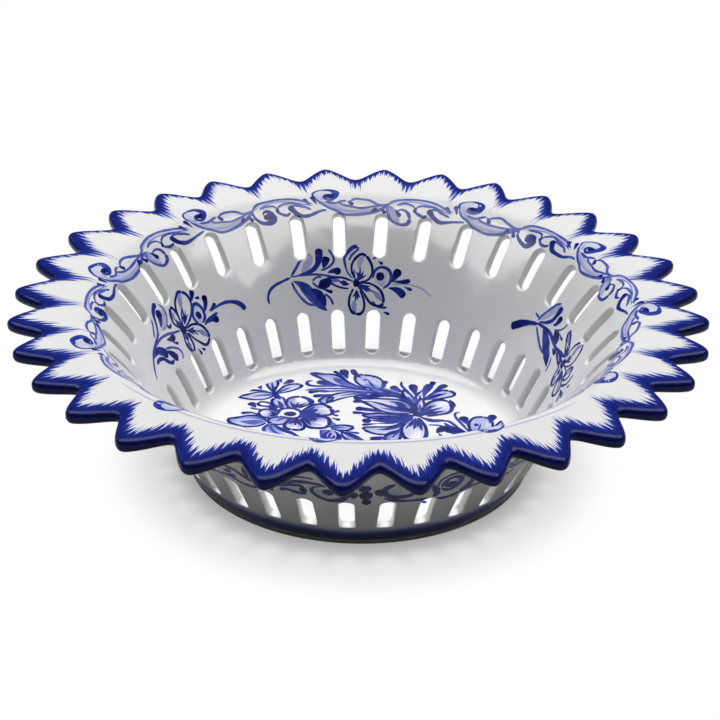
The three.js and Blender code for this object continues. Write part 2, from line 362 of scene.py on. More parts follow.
# %% Node helpers
class Nodes:
    """The node tree of a material or a world, with short calls that place a node and return its output."""

    def __init__(self, owner, shader="Principled BSDF"):
        owner.use_nodes = True
        self.owner = owner
        self.tree = owner.node_tree
        self.shader = self.tree.nodes[shader]

    def put(self, socket, value):
        """Links an output to a socket, or sets the socket to a plain value."""
        if isinstance(value, bpy.types.NodeSocket):
            self.tree.links.new(value, socket)
        else:
            socket.default_value = value

    def shade(self, **inputs):
        """Sets the shader's own sockets."""
        for key, value in inputs.items():
            self.put(self.shader.inputs[key.replace("_", " ")], value)

    def node(self, kind, output=0, settings=None, **inputs):
        """Any node by its kind, with its settings and inputs."""
        made = self.tree.nodes.new("ShaderNode" + kind)
        for key, value in (settings or {}).items():
            setattr(made, key, value)
        for key, value in inputs.items():
            self.put(made.inputs[key.replace("_", " ")], value)
        return made.outputs[output]

    def math(self, operation, first, second=0.0, third=0.0):
        """One operation on up to three numbers."""
        made = self.tree.nodes.new("ShaderNodeMath")
        made.operation = operation
        for socket, value in zip(made.inputs, (first, second, third)):
            self.put(socket, value)
        return made.outputs[0]

    def smooth(self, value, low, high):
        """0 below low, 1 above high, and a soft step between."""
        made = self.tree.nodes.new("ShaderNodeMapRange")
        made.interpolation_type = "SMOOTHSTEP"
        for name, given in (("Value", value), ("From Min", low), ("From Max", high)):
            self.put(made.inputs[name], given)
        return made.outputs["Result"]

    def noise(self, scale, detail=2.0, vector=None):
        """Noise from 0 to 1 in the object's own space, or at a given place."""
        place = vector or self.node("TexCoord", "Object")
        return self.node("TexNoise", "Fac", Vector=place, Scale=scale, Detail=detail)

    def wander(self, size, scale, detail=2.0, vector=None):
        """Noise about zero, times a size."""
        return self.math("MULTIPLY", self.math("SUBTRACT", self.noise(scale, detail, vector), 0.5), size)

    def attribute(self, name):
        """A number that the mesh's corners carry."""
        return self.node("Attribute", "Fac", {"attribute_name": name})

    def ramp(self, value, stops):
        """Colour read off between stops, each a place and a colour."""
        made = self.tree.nodes.new("ShaderNodeValToRGB")
        elements = made.color_ramp.elements
        while len(elements) < len(stops):
            elements.new(0.5)
        for element, (place, colour) in zip(elements, stops):
            element.position = place
            element.color = (*colour, 1)
        self.put(made.inputs["Fac"], value)
        return made.outputs["Color"]


# %% Glaze recipe
WHITE_GLAZE = (0.85, 0.85, 0.845)
PIGMENT = (                        # strength of the pigment, and the glaze's colour there
    (0.0, WHITE_GLAZE),
    (0.22, (0.50, 0.52, 0.75)),
    (0.45, (0.15, 0.19, 0.56)),
    (0.66, (0.032, 0.06, 0.37)),
    (0.83, (0.012, 0.021, 0.21)),
    (1.0, (0.004, 0.005, 0.035)),
)
WHITE_MIRROR = 0.5                 # how strongly the white glaze mirrors
GLAZE_IOR = 1.5
CLOUD_SCALE = 38.0                 # faint clouds in the white
CLOUD_STRENGTH = 0.05
PINHOLE_SCALE = 95.0
PINHOLE_SIZE = 0.035
PINHOLE_STRENGTH = 0.5
PATCH_SCALE = 23.0                 # pinholes show only where this noise is high
PATCH_LEVEL = 0.66
SHINE_SCALE = 55.0                 # how the roughness varies
SHINE_LEAST = 0.08
SHINE_RANGE = 0.1
RIPPLE_SCALE = 60.0                # a broad ripple of the surface, and a fine one over it
FINE_RIPPLE_SCALE = 240.0
FINE_RIPPLE = 0.12
BUMP_STRENGTH = 0.5
BUMP_HEIGHT = 0.0008               # in metres


def glazed(name, mirror, strength_of=None):
    """Glossy glaze whose colour runs from white to near-black cobalt with the strength of the pigment,
    which strength_of builds from the nodes. A little noise breaks the white, soft bumps ripple the shine,
    and mirror is how strongly it reflects."""
    nodes = Nodes(bpy.data.materials.new(name))
    cloud = nodes.wander(CLOUD_STRENGTH, CLOUD_SCALE, detail=3.0)
    place = nodes.node("TexCoord", "Object")
    pinholes = nodes.node("TexVoronoi", "Distance", Vector=place, Scale=PINHOLE_SCALE)
    patch = nodes.math("GREATER_THAN", nodes.noise(PATCH_SCALE, detail=0.0), PATCH_LEVEL)
    speck = nodes.math("MULTIPLY", nodes.math("LESS_THAN", pinholes, PINHOLE_SIZE), patch)
    strength = nodes.math("MULTIPLY_ADD", speck, PINHOLE_STRENGTH, cloud)
    if strength_of:
        strength = nodes.math("ADD", strength, strength_of(nodes))
    fine = nodes.math("MULTIPLY", nodes.noise(FINE_RIPPLE_SCALE, detail=1.0), FINE_RIPPLE)
    ripple = nodes.math("ADD", nodes.noise(RIPPLE_SCALE, detail=1.0), fine)
    shine = nodes.noise(SHINE_SCALE, detail=4.0)
    nodes.shade(
        Base_Color=nodes.ramp(strength, PIGMENT),
        Roughness=nodes.math("MULTIPLY_ADD", shine, SHINE_RANGE, SHINE_LEAST),
        Normal=nodes.node("Bump", "Normal", Height=ripple, Strength=BUMP_STRENGTH, Distance=BUMP_HEIGHT),
        IOR=GLAZE_IOR,
        Specular_IOR_Level=mirror,
    )
    return nodes.owner


white_glaze = glazed("white_tin_glaze", WHITE_MIRROR)
print("made", white_glaze.name)

# %% [markdown]
# ## Pointed rim
# The flange ends in a zigzag with rounded tips and valleys. Its rows follow that outline inward. Near the
# edge the height falls away with the distance to the outline, which rounds the edge over all round, also in
# the valleys, where moving the outline inward would fold it.

# %% Rim surface
STEPS_PER_POINT = 24
SHOULDER_ROUND = 2.6               # radius of the edge above
UNDER_ROUND = 2.8                  # and below
TIP_INSET = 0.1                    # the tips stay this much inside the solid's, before their drift
EDGE_ROWS = np.array([0, 0.06, 0.22, 0.5, 0.9, 1.4, 2.0, 2.9, 4.2, 6.5, 9.0])
FLANGE_ROWS = 12
OUTLINE_SAMPLES = 1201


def zigzag(angle):
    """Runs from 1 at a tip to -1 in a valley: the arc sine of a cosine, softened by the sharpness, brought
    to 0 to 1 and raised to the fullness."""
    soft = np.arcsin(POINT_SHARPNESS * np.cos(POINT_COUNT * angle)) / np.arcsin(POINT_SHARPNESS)
    return 2 * np.clip((1 + soft) / 2, 0, 1) ** POINT_FULLNESS - 1


def valley_share(angle):
    """0 at a tip and 1 in a valley."""
    return (1 - zigzag(angle)) / 2


def outline_radius(angle):
    """Tip radius with its drift, less the depth of the cut at this angle."""
    return RIM_RADIUS - TIP_INSET + waves(angle, REACH_WAVES) - POINT_DEPTH * valley_share(angle)


def distance_to_outline(angle, radius):
    """Least distance from each place on one tooth to the outline, over samples of three teeth."""
    around = np.linspace(-1.5 * PITCH, 1.5 * PITCH, OUTLINE_SAMPLES)
    edge = RIM_RADIUS - POINT_DEPTH * valley_share(around)
    gap = (angle[..., None] - around) * RIM_RADIUS
    return np.sqrt(gap ** 2 + (radius[..., None] - edge) ** 2).min(-1)


def rim_rows(start_radius):
    """Rows from the outline in to a starting circle, as radii for each column of the ring."""
    angle = ring_angles(POINT_COUNT * STEPS_PER_POINT)
    edge = outline_radius(angle)
    near_edge = edge[None, :] - EDGE_ROWS[:, None]
    share = np.linspace(0, 1, FLANGE_ROWS + 1)[1:, None]
    flat = near_edge[-1:] * (1 - share) + start_radius * share
    return angle, edge, np.vstack([near_edge, flat])


def rounded_over(gap, radius):
    """Fall of a quarter circle: none past its radius, the whole radius at the edge."""
    inside = np.clip(radius - gap, 0, radius)
    return radius - np.sqrt(radius ** 2 - inside ** 2)


def rim_side(rail, upward, edge_round):
    """One face of the flange, from the outline to the lap: radius rows set to the rail's height, rounded
    over towards the outline. Also each place's distance inward from the outline, and the least one to
    it."""
    angle, edge, radius = rim_rows(rail_place(rail, LAP_S)[0])
    order = np.argsort(rail[:, 0])
    height = np.interp(radius, rail[order, 0], rail[order, 1])
    nominal = np.mod(angle + PITCH / 2, PITCH) - PITCH / 2
    regular = radius + RIM_RADIUS - edge - POINT_DEPTH * valley_share(angle)
    gap = distance_to_outline(np.broadcast_to(nominal, radius.shape), regular)
    turned = drifted(angle, 0)
    height = height - upward * rounded_over(gap, edge_round) + flange_lift(turned, radius)
    points = np.stack([radius * np.cos(turned), radius * np.sin(turned), height], -1)
    return points, edge - radius, gap


# %% Rim mesh
PRESS_EVEN = 1.25                  # length of the edge's brush strokes all round
PRESS_NEAR = 0.15                  # and how much longer they are on the near side
PRESS_FLANK = 0.35                 # and on the near flank of a point at the left or right
VALLEY_REACH = (6.4, -2.4)         # how much longer valley strokes are, away from the near side and on it
NEAR_SIDE = (0.35, 0.85)           # where the near side begins and is reached, as shares towards the viewer
UNDER_SHARE = 0.6                  # distances underneath count as this share, so the paint goes further in


def brush_map(mesh, column, inward):
    """Map of the edge's strokes: points round the rim across, which run on past the seam, and mm inward."""
    corner = np.empty(len(mesh.loops), np.int32)
    mesh.loops.foreach_get("vertex_index", corner)
    around = np.ravel(column)[corner].reshape(-1, 4)
    seam = around.max(1) - around.min(1) > POINT_COUNT / 2
    around[seam] = np.where(around[seam] < POINT_COUNT / 2, around[seam] + POINT_COUNT, around[seam])
    uv = mesh.uv_layers.new(name="brush")
    uv.data.foreach_set("uv", np.column_stack([around.ravel(), np.ravel(inward)[corner]]).ravel())


def pointed_rim():
    """Top rows from the lap out to the edge, then the underside's rows back, closed at the lap. The corners
    carry what the edge's paint needs."""
    top, top_in, top_gap = rim_side(RAIL_IN, 1, SHOULDER_ROUND)
    under, under_in, under_gap = rim_side(RAIL_OUT, -1, UNDER_ROUND)
    loop = np.concatenate([top[::-1], under])
    rows, columns = loop.shape[:2]
    quads = grid_quads(rows, columns, closed_rows=True, closed_columns=True)
    piece = mesh_piece("pointed_rim_glazed", loop.reshape(-1, 3), quads)
    angle = ring_angles(columns)
    flank = np.cos(angle) * np.sin(POINT_COUNT * angle)
    pressed = PRESS_EVEN - PRESS_NEAR * np.sin(angle) - PRESS_FLANK * flank
    inward = np.concatenate([top_in[::-1] / pressed, UNDER_SHARE * under_in])
    gap = np.concatenate([top_gap[::-1], -under_gap])
    add_layer(piece.data, "inward", inward)
    add_layer(piece.data, "edge_gap", gap)
    add_layer(piece.data, "valley", np.broadcast_to(valley_share(angle), gap.shape))
    reach = np.interp(-np.sin(angle), NEAR_SIDE, VALLEY_REACH)
    add_layer(piece.data, "valley_reach", np.broadcast_to(reach, gap.shape))
    brush_map(piece.data, np.broadcast_to(np.arange(columns) / STEPS_PER_POINT, gap.shape), inward)
    join_glaze(piece.data, LAP_S, outside=False)
    return piece


rim = pointed_rim()

# %% [markdown]
# ## Painted edge
# The painter pulled short radial strokes in from the edge. Each stroke here is a column of the brush map
# with its own random length and a pointed end. Two sets of strokes, one finer, overlap. They are pressed
# harder on the near side and on the near flanks of the points at the left and right. In the valleys they
# are longest, except on the near side. The lower half of the edge is painted darker, as painted shade where
# the rim's underside gets little light. A pale line along the shoulder is partly worn glaze and partly a
# painted highlight where the rounded edge catches the light.

# %% Rim finish
STROKE_SURE = 0.45                 # share of its reach that every stroke has
STROKE_LUCK = 0.55                 # and the share left to luck
STROKE_POINT = 1.9                 # how sharply a stroke's end is pointed
END_SOFTNESS = (-0.2, 0.35)        # mm over which a stroke's end fades
SWAY_SCALE = 70.0                  # the strokes sway sideways a little
SWAY_SIZE = 0.06
TIP_SOLID = 3.2                    # mm of solid paint at a tip
FLANK_SOLID = 1.2                  # and how much more beside it
FLANK_PART = (0.0, 0.3)            # where that begins and is reached on the way from tip to valley
VALLEY_PART = (0.66, 1.0)          # where the valley begins and is reached
STROKE_REACH = 6.4                 # mm that a stroke may reach past the solid paint
BROAD_PER_POINT = 11.0             # strokes on each point, and where each set's random lengths are read from
BROAD_SEED = 3.0
FINE_PER_POINT = 26.0
FINE_SEED = 511.0
FINE_REACH = 1.15                  # fine strokes are longer than broad ones
FINE_STRENGTH = 0.8                # and paler
HAIR_ACROSS = 60.0                 # marks of the brush's hairs: how fine across and along a stroke
HAIR_ALONG = 0.25
HAIR_STRENGTH = 0.3
INNER_TONE = 0.58                  # strength of the paint at its inner end
EDGE_TONE = 0.28                   # and how much more at the edge
TONE_PART = (11.0, 2.0)            # mm inward between the two
WEAR_AND_HIGHLIGHT_START = (0.7, 0.95)           # mm from the edge where the pale line of worn glaze and painted highlight begins
WEAR_AND_HIGHLIGHT_STOP = (1.5, 1.15)            # and where it ends
WEAR_AND_HIGHLIGHT_SCALE = 110.0                 # it is broken by a noise
WEAR_AND_HIGHLIGHT_PART = (0.35, 0.65)
WEAR_AND_HIGHLIGHT_STRENGTH = 0.13
BELOW_SHADE_PART = (0.03, -0.12)         # mm above the edge's middle where the painted shade of the lower half begins
BELOW_SHADE_STRENGTH = 0.22
EDGE_MIRROR = 0.12                 # the painted rim mirrors less than the white glaze


def brush_ends(nodes, across, inward, per_point, seed, base, reach):
    """Painted where the place lies short of its stroke's end: base plus a random part of reach, less
    towards the stroke's sides, which points it."""
    place = nodes.math("ADD", nodes.math("MULTIPLY", across, per_point), seed)
    number = nodes.math("FLOOR", place)
    side = nodes.math("ABSOLUTE", nodes.math("SUBTRACT", nodes.math("SUBTRACT", place, number), 0.5))
    luck = nodes.node("TexWhiteNoise", "Value", {"noise_dimensions": "1D"}, W=number)
    luck = nodes.math("MULTIPLY_ADD", luck, STROKE_LUCK, STROKE_SURE)
    pointed = nodes.math("SUBTRACT", 1.0, nodes.math("MULTIPLY", side, STROKE_POINT))
    length = nodes.math("MULTIPLY", nodes.math("MULTIPLY", luck, reach), pointed)
    end = nodes.math("ADD", base, length)
    return nodes.smooth(nodes.math("SUBTRACT", end, inward), *END_SOFTNESS)


def painted_edge(nodes):
    """Strength of the edge paint: the stronger of the two sets of strokes, times a tone that grows towards
    the edge, is streaked along the strokes, paler along the shoulder, where worn glaze and a painted
    highlight make a pale line, and darker on the lower half, as painted shade."""
    inward = nodes.attribute("inward")
    gap = nodes.attribute("edge_gap")
    valley = nodes.attribute("valley")
    across = nodes.node("SeparateXYZ", 0, Vector=nodes.node("UVMap", 0, {"uv_map": "brush"}))
    across = nodes.math("ADD", across, nodes.wander(SWAY_SIZE, SWAY_SCALE))
    base = nodes.math("MULTIPLY_ADD", nodes.smooth(valley, *FLANK_PART), FLANK_SOLID, TIP_SOLID)
    deep = nodes.smooth(valley, *VALLEY_PART)
    reach = nodes.math("MULTIPLY_ADD", deep, nodes.attribute("valley_reach"), STROKE_REACH)
    broad = brush_ends(nodes, across, inward, BROAD_PER_POINT, BROAD_SEED, base, reach)
    longer = nodes.math("MULTIPLY", reach, FINE_REACH)
    fine = brush_ends(nodes, across, inward, FINE_PER_POINT, FINE_SEED, base, longer)
    cover = nodes.math("MAXIMUM", broad, nodes.math("MULTIPLY", fine, FINE_STRENGTH))
    hairs = nodes.node("CombineXYZ", 0, X=nodes.math("MULTIPLY", across, HAIR_ACROSS),
                       Y=nodes.math("MULTIPLY", inward, HAIR_ALONG))
    tone = nodes.math("MULTIPLY_ADD", nodes.smooth(inward, *TONE_PART), EDGE_TONE, INNER_TONE)
    tone = nodes.math("ADD", tone, nodes.wander(HAIR_STRENGTH, 1.0, vector=hairs))
    # Pale line along the shoulder: partly worn glaze, partly a painted highlight.
    wear_and_highlight = nodes.math("MULTIPLY", nodes.smooth(gap, *WEAR_AND_HIGHLIGHT_START), nodes.smooth(gap, *WEAR_AND_HIGHLIGHT_STOP))
    wear_and_highlight = nodes.math("MULTIPLY", wear_and_highlight, nodes.smooth(nodes.noise(WEAR_AND_HIGHLIGHT_SCALE, detail=3.0), *WEAR_AND_HIGHLIGHT_PART))
    tone = nodes.math("SUBTRACT", tone, nodes.math("MULTIPLY", wear_and_highlight, WEAR_AND_HIGHLIGHT_STRENGTH))
    # Painted shade: the lower half of the edge is painted darker.
    tone = nodes.math("MULTIPLY_ADD", nodes.smooth(gap, *BELOW_SHADE_PART), BELOW_SHADE_STRENGTH, tone)
    return nodes.math("MULTIPLY", tone, cover)


cobalt_edge = glazed("cobalt_brushed_edge", EDGE_MIRROR, painted_edge)


def dress(piece, material, slot, *nodes):
    """Gives a piece its finish, lets it ride on the bowl and hides the solids that it stands for."""
    piece.data.materials.append(material)
    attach(piece, "root")
    if nodes:
        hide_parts(*nodes)


dress(rim, cobalt_edge, "cobalt_glaze", "pointed_rim")

# %% [markdown]
# ## Pierced wall
# Each slot sits in a rectangular cell of the wall. Rings of points lead from the cell's border on the
# inside to the slot, round its lip, through the wall, round the outer lip and back to the border on the
# outside. The glaze has softened both lips. Neighbouring cells share their borders, so the wall closes by
# merging.

# %% Slots
SLOT_WIDTH = 6.2
UPPER_SLOT = (13.5, 20.9)          # drop of the top end below the mouth along the wall, and length
LOWER_SLOT = (0.1, 20.7)           # lift of the bottom end above the cove along the wall, and length
MOUTH_S = FLANGE_WIDTH
CELL_SEAM_S = 74.0                 # where the two rows of cells meet
WALL_FOOT_Z = FLOOR_TOP + COVE_RADIUS * (1 - np.sin(WALL_LEAN))
WALL_FOOT_S = float(np.interp(-WALL_FOOT_Z, -RAIL_IN[:, 1], RAIL_S))
SLOT_ROWS = (                      # middle along the rail and length of each row's slots
    (MOUTH_S + UPPER_SLOT[0] + UPPER_SLOT[1] / 2, UPPER_SLOT[1]),
    (WALL_FOOT_S - LOWER_SLOT[0] - LOWER_SLOT[1] / 2, LOWER_SLOT[1]),
)
SIDE_STEPS = 12                    # points along each side of a cell
INNER_LIP = 0.9                    # radius of a slot's lip inside the bowl
OUTER_LIP = 1.0                    # and outside
LIP_STEPS = 5
CELL_RINGS = 7
RING_CROWDING = 1.5                # the rings stand closer towards the slot


def cell_border():
    """Corners of the unit cell in order: along the top, down the right, back along the bottom, up the
    left."""
    run = np.arange(SIDE_STEPS) / SIDE_STEPS
    x = np.concatenate([2 * run - 1, np.ones(SIDE_STEPS), 1 - 2 * run, -np.ones(SIDE_STEPS)])
    y = np.concatenate([np.zeros(SIDE_STEPS), run, np.ones(SIDE_STEPS), 1 - run])
    return x, y


def slot_outline(length, grow):
    """Long hole with round ends, grown outward: half circles above and below two straight sides."""
    half = SLOT_WIDTH / 2
    reach = length / 2 - half
    run = np.arange(SIDE_STEPS) / SIDE_STEPS
    radius = half + grow
    straight = reach * (2 * run - 1)
    x = np.concatenate([-radius * np.cos(np.pi * run), radius + 0 * run,
                        radius * np.cos(np.pi * run), -radius + 0 * run])
    y = np.concatenate([-reach - radius * np.sin(np.pi * run), straight,
                        reach + radius * np.sin(np.pi * run), -straight])
    return x, y


def slot_rings():
    """(grow, depth) pairs of the rings round a slot: inner lip, through the wall, outer lip."""
    turn = np.linspace(0, np.pi / 2, LIP_STEPS)
    inner = np.column_stack([INNER_LIP * (1 - np.sin(turn)), INNER_LIP * (1 - np.cos(turn))])
    outer = np.column_stack([OUTER_LIP * (1 - np.cos(turn)),
                             WALL_THICKNESS - OUTER_LIP * (1 - np.sin(turn))])
    return np.vstack([inner, outer])


def wall_cells(top_s, bottom_s, middle_s, length):
    """Points of one row of cells, (columns, rings, loop, 3). On each face of the wall, rings mix the cell's
    border with the slot's lip."""
    border_x, border_y = cell_border()
    border_s = top_s + (bottom_s - top_s) * border_y
    border_turn = border_x * PITCH / 2
    ease = 1 - (1 - np.arange(CELL_RINGS) / CELL_RINGS) ** RING_CROWDING

    def slot_ring(grow, depth):
        """Turns, distances and depths of one ring round the slot."""
        x, y = slot_outline(length, grow)
        slot_s = middle_s + y
        return x / np.interp(slot_s, RAIL_S, RAIL_IN[:, 0]), slot_s, np.full_like(slot_s, depth)

    def face_rings(lip, depth, mixes):
        """Rings on one face, each mixed from the cell's border and the lip."""
        slot_turn, slot_s, depths = slot_ring(lip[0], depth)
        return [(border_turn * (1 - m) + slot_turn * m, border_s * (1 - m) + slot_s * m, depths)
                for m in mixes]

    lips = slot_rings()
    inside = face_rings(lips[0], 0, ease)
    through = [slot_ring(grow, depth / WALL_THICKNESS) for grow, depth in lips]
    outside = face_rings(lips[-1], 1, ease[::-1])
    turns, distances, depths = (np.array(part) for part in zip(*inside, *through, *outside))
    s = np.broadcast_to(distances, (POINT_COUNT,) + distances.shape)
    angle = drifted(PITCH * np.arange(POINT_COUNT)[:, None, None] + turns, s)
    return on_body(angle, s, np.broadcast_to(depths, s.shape))


# %% Wall mesh
def pierced_wall():
    """Both rows of cells, with a strip that closes the wall's upper end and one that closes its foot. Each
    is a row of like grids, which number their corners one after another."""
    upper = wall_cells(LAP_S, CELL_SEAM_S, *SLOT_ROWS[0])
    lower = wall_cells(CELL_SEAM_S, WALL_END_S, *SLOT_ROWS[1])
    rings, loop = upper.shape[1:3]
    cell_quads = grid_quads(rings, loop, closed_columns=True)
    strip_quads = grid_quads(2, SIDE_STEPS + 1)
    top = np.arange(SIDE_STEPS + 1)
    bottom = 2 * SIDE_STEPS + top
    upper_end = np.stack([upper[:, -1, top], upper[:, 0, top]], 1)
    lower_end = np.stack([lower[:, -1, bottom], lower[:, 0, bottom]], 1)
    points, quads = [], []
    count = 0
    runs = ((upper, cell_quads), (lower, cell_quads), (upper_end, strip_quads), (lower_end, strip_quads))
    for grids, one in runs:
        firsts = count + grids[0].size // 3 * np.arange(POINT_COUNT)
        quads.append((firsts[:, None, None] + one).reshape(-1, 4))
        points.append(grids.reshape(-1, 3))
        count += grids.size // 3
    return mesh_piece("pierced_wall_glazed", np.vstack(points), np.vstack(quads))


wall = pierced_wall()
dress(wall, white_glaze, "white_glaze", "pierced_wall")
for joint_s in (LAP_S, WALL_END_S):
    for outside in (False, True):
        join_glaze(wall.data, joint_s, outside)

# %% [markdown]
# ## Floor and foot
# The floor is a flat disc with a coved edge, and the bowl stands on a low ring that the potter wiped clean
# of glaze before firing. Both are turned: a section is carried round the axis.

# %% Turned pieces
ROUND_STEPS = 384
HEEL_STEPS = 60                    # points of the floor's section: over the heel, the cove, below and above
COVE_STEPS = 9
UNDERSIDE_STEPS = 14
FLAT_STEPS = 30
SEAM_GAP = 0.05                    # the heel's points stop this far below the wall


def carried(section):
    """Points of a section, as radius and height, carried round the axis: (points, steps, 3)."""
    angle = ring_angles(ROUND_STEPS)
    radius, height = section[:, 0][:, None], section[:, 1][:, None]
    return np.stack(np.broadcast_arrays(radius * np.cos(angle), radius * np.sin(angle), height), -1)


def turned(name, section):
    """Closed ring of section points carried round the axis."""
    quads = grid_quads(len(section), ROUND_STEPS, closed_rows=True, closed_columns=True)
    return mesh_piece(name, carried(section).reshape(-1, 3), quads)


def arc(centre, radius, start, end, steps):
    """Points of a circle's arc between two angles in degrees."""
    angle = np.radians(np.linspace(start, end, steps))
    return np.asarray(centre) + radius * np.column_stack([np.cos(angle), np.sin(angle)])


def level(radii, height):
    """Section points at these radii, all at one height."""
    return np.column_stack([radii, np.full(len(radii), height)])


def floor_section():
    """From the axis under the floor out to the heel, up to the wall, down the cove and back to the axis."""
    foot = RAIL_OUT[RAIL_IN[:, 1] > WALL_FOOT_Z][-1]
    heel = heel_curve(foot, HEEL_STEPS)
    heel = heel[heel[:, 1] < WALL_BASE - SEAM_GAP][::-1]
    drop = np.degrees(np.arccos((FLOOR_TOP + COVE_RADIUS - WALL_BASE) / COVE_RADIUS))
    cove = arc((FLOOR_RADIUS, FLOOR_TOP + COVE_RADIUS), COVE_RADIUS, -90 + drop, -90, COVE_STEPS)
    underside = level(np.linspace(0, heel[0, 0], UNDERSIDE_STEPS)[:-1], FLOOR_UNDERSIDE)
    flat = level(np.linspace(FLOOR_RADIUS, 0, FLAT_STEPS)[1:], FLOOR_TOP)
    return np.vstack([underside, heel, RAIL_OUT[-1:], RAIL_IN[-1:], cove[1:], flat])


floor_disc = turned("floor_disc_glazed", floor_section())
dress(floor_disc, white_glaze, "white_glaze", "floor_disc")
for outside in (False, True):
    join_glaze(floor_disc.data, WALL_END_S, outside)

# %% Foot ring
FOOT_EDGE = 0.9                    # radius of its lower edges
FOOT_STEPS = 6
CLAY_TONES = ((0.3, (0.44, 0.35, 0.24)), (0.5, (0.58, 0.48, 0.35)), (0.7, (0.66, 0.58, 0.46)))
CLAY_CLOUD_SCALE = 60.0            # a broad and a fine noise mix the tones
CLAY_CLOUD_SHARE = 0.6
CLAY_GRAIN_SCALE = 900.0
CLAY_GRAIN_SHARE = 0.4
CLAY_ROUGHNESS = 0.85
CLAY_BUMP_SCALE = 1400.0
CLAY_BUMP = 0.4
CLAY_BUMP_HEIGHT = 0.0002          # in metres


def foot_section():
    """Low ring with rounded lower edges, flat on top where it joins the floor."""
    inner = FOOT_RADIUS - FOOT_WIDTH
    outer_edge = arc((FOOT_RADIUS - FOOT_EDGE, FOOT_EDGE), FOOT_EDGE, -90, 0, FOOT_STEPS)
    inner_edge = arc((inner + FOOT_EDGE, FOOT_EDGE), FOOT_EDGE, 180, 270, FOOT_STEPS)
    flat = level(np.linspace(inner + FOOT_EDGE, FOOT_RADIUS - FOOT_EDGE, FOOT_STEPS)[1:-1], 0)
    return np.vstack([flat, outer_edge, level([FOOT_RADIUS, inner], FLOOR_UNDERSIDE), inner_edge])


def bare_clay():
    """Matt buff clay with grog: two noises mix three clay tones, and a fine bump roughens it."""
    nodes = Nodes(bpy.data.materials.new("wiped_bare_clay"))
    clouds = nodes.math("MULTIPLY", nodes.noise(CLAY_CLOUD_SCALE, detail=4.0), CLAY_CLOUD_SHARE)
    grains = nodes.math("MULTIPLY", nodes.noise(CLAY_GRAIN_SCALE, detail=2.0), CLAY_GRAIN_SHARE)
    grit = nodes.noise(CLAY_BUMP_SCALE, detail=3.0)
    nodes.shade(
        Base_Color=nodes.ramp(nodes.math("ADD", clouds, grains), CLAY_TONES),
        Roughness=CLAY_ROUGHNESS,
        Normal=nodes.node("Bump", "Normal", Height=grit, Strength=CLAY_BUMP, Distance=CLAY_BUMP_HEIGHT),
    )
    return nodes.owner


foot = turned("foot_ring_clay", foot_section())
dress(foot, bare_clay(), "bare_clay", "foot_ring")

# %% [markdown]
# ## Brushwork
# The painter worked with a soft pointed brush on the raw glaze: thin lines, drops pressed from the tip of
# the brush, leaves in one swelling stroke, and pale washes inside outlines. An image could hold that, but
# it would blur close up. Here each stroke is a narrow ribbon of its own, laid a hair's breadth over the
# glaze along a smooth curve through a few given points. Each corner of a ribbon carries the strength of
# its pigment, and a thin border without pigment softens the edge.

# %% Strokes
CURVE_STEPS = 16                   # points between two given ones
LINE_ENDS = 0.08                   # share of a line that each end takes to widen
LINE_SWELL = 0.2                   # how much narrower a line is there
LEAF_POWER = 0.8
DROP_POWER = 0.7
START_WIDTH = {"club": 0.25, "edge": 0.6}
BLUNT_START = 0.05                 # share of the stroke that a blunt start takes


def smooth_curve(points, shares):
    """Curve through the points made of cubic pieces whose slope at a point follows its two neighbours, read
    off at shares of its length. Also that length."""
    p = np.asarray(points, float)
    padded = np.vstack([2 * p[0] - p[1], p, 2 * p[-1] - p[-2]])
    a, b, c, d = (padded[k:len(p) - 1 + k, None] for k in range(4))
    t = np.linspace(0, 1, CURVE_STEPS, endpoint=False)[None, :, None]
    dense = b + 0.5 * t * (c - a + t * (2 * a - 5 * b + 4 * c - d + t * (3 * (b - c) + d - a)))
    dense = np.vstack([dense.reshape(-1, 2), p[-1:]])
    walked = np.r_[0, np.cumsum(np.linalg.norm(np.diff(dense, axis=0), axis=1))]
    place = np.asarray(shares) * walked[-1]
    return np.column_stack([np.interp(place, walked, dense[:, k]) for k in (0, 1)]), walked[-1]


def swell(kind, t, cap):
    """Share of the full width along a stroke. A line is even with short ends, a leaf is pointed at both, a
    dot is round, a drop grows to a round end, a club grows from a blunt start, an edge less so, and a tail
    is a club turned round."""
    if kind == "tail":
        return swell("club", 1 - t, cap)
    if kind == "line":
        ends = np.sqrt(np.clip(np.minimum(t, 1 - t) / LINE_ENDS, 0, 1))
        return ends * (1 - LINE_SWELL + LINE_SWELL * np.sin(np.pi * t))
    if kind == "leaf":
        return np.sin(np.pi * t) ** LEAF_POWER
    if kind == "dot":
        return np.sqrt(np.clip(1 - (2 * t - 1) ** 2, 0, 1))
    round_end = np.sqrt(np.clip(1 - (np.clip(t - 1 + cap, 0, 1) / cap) ** 2, 0, 1))
    if kind == "drop":
        return t ** DROP_POWER * round_end
    start = START_WIDTH[kind]
    return (start + (1 - start) * t) * round_end * np.sqrt(np.clip(t / BLUNT_START, 0, 1))


# %% Petals
OUTLINE_STEPS = 10                 # along each half of an outline
EDGE_ORDER = 0.75                  # when the strokes of a petal are laid, among the others by strength
VEIN_ORDER = 0.6
RIB_ORDER = 0.55
DAB_ORDER = 0.1
EDGE_STRENGTH = 0.93
FAN_SHARE = 0.7                    # strength of a petal's fill, as a share of its tone
WASH_SHARE = 0.8
DAB_WIDTH = 2.2                    # pale dab of an open petal
DAB_PLACES = ((0.34, 4), (0.32, 7), (0.38, 9))
RIB_WIDTH = 1.1                    # midrib of a leaf
RIB_STRENGTH = 0.72
RIB_PLACES = ((0.5, 0), (0.46, 3), (0.5, 6))
PETAL_VEINS = (0.8, 0.84, ((0.2, 3), (0.4, 5), (0.58, 4), (0.78, 3)))
BLOOM_VEINS = (1.1, 0.92, ((0.14, 5), (0.32, 4), (0.5, 5), (0.68, 4), (0.86, 5)))


def halves(points):
    """A closed outline that starts and ends at its base, as two curves from the base to the tip."""
    whole = smooth_curve(points, np.linspace(0, 1, 2 * OUTLINE_STEPS + 1))[0]
    return whole[:OUTLINE_STEPS + 1], whole[:OUTLINE_STEPS - 1:-1]


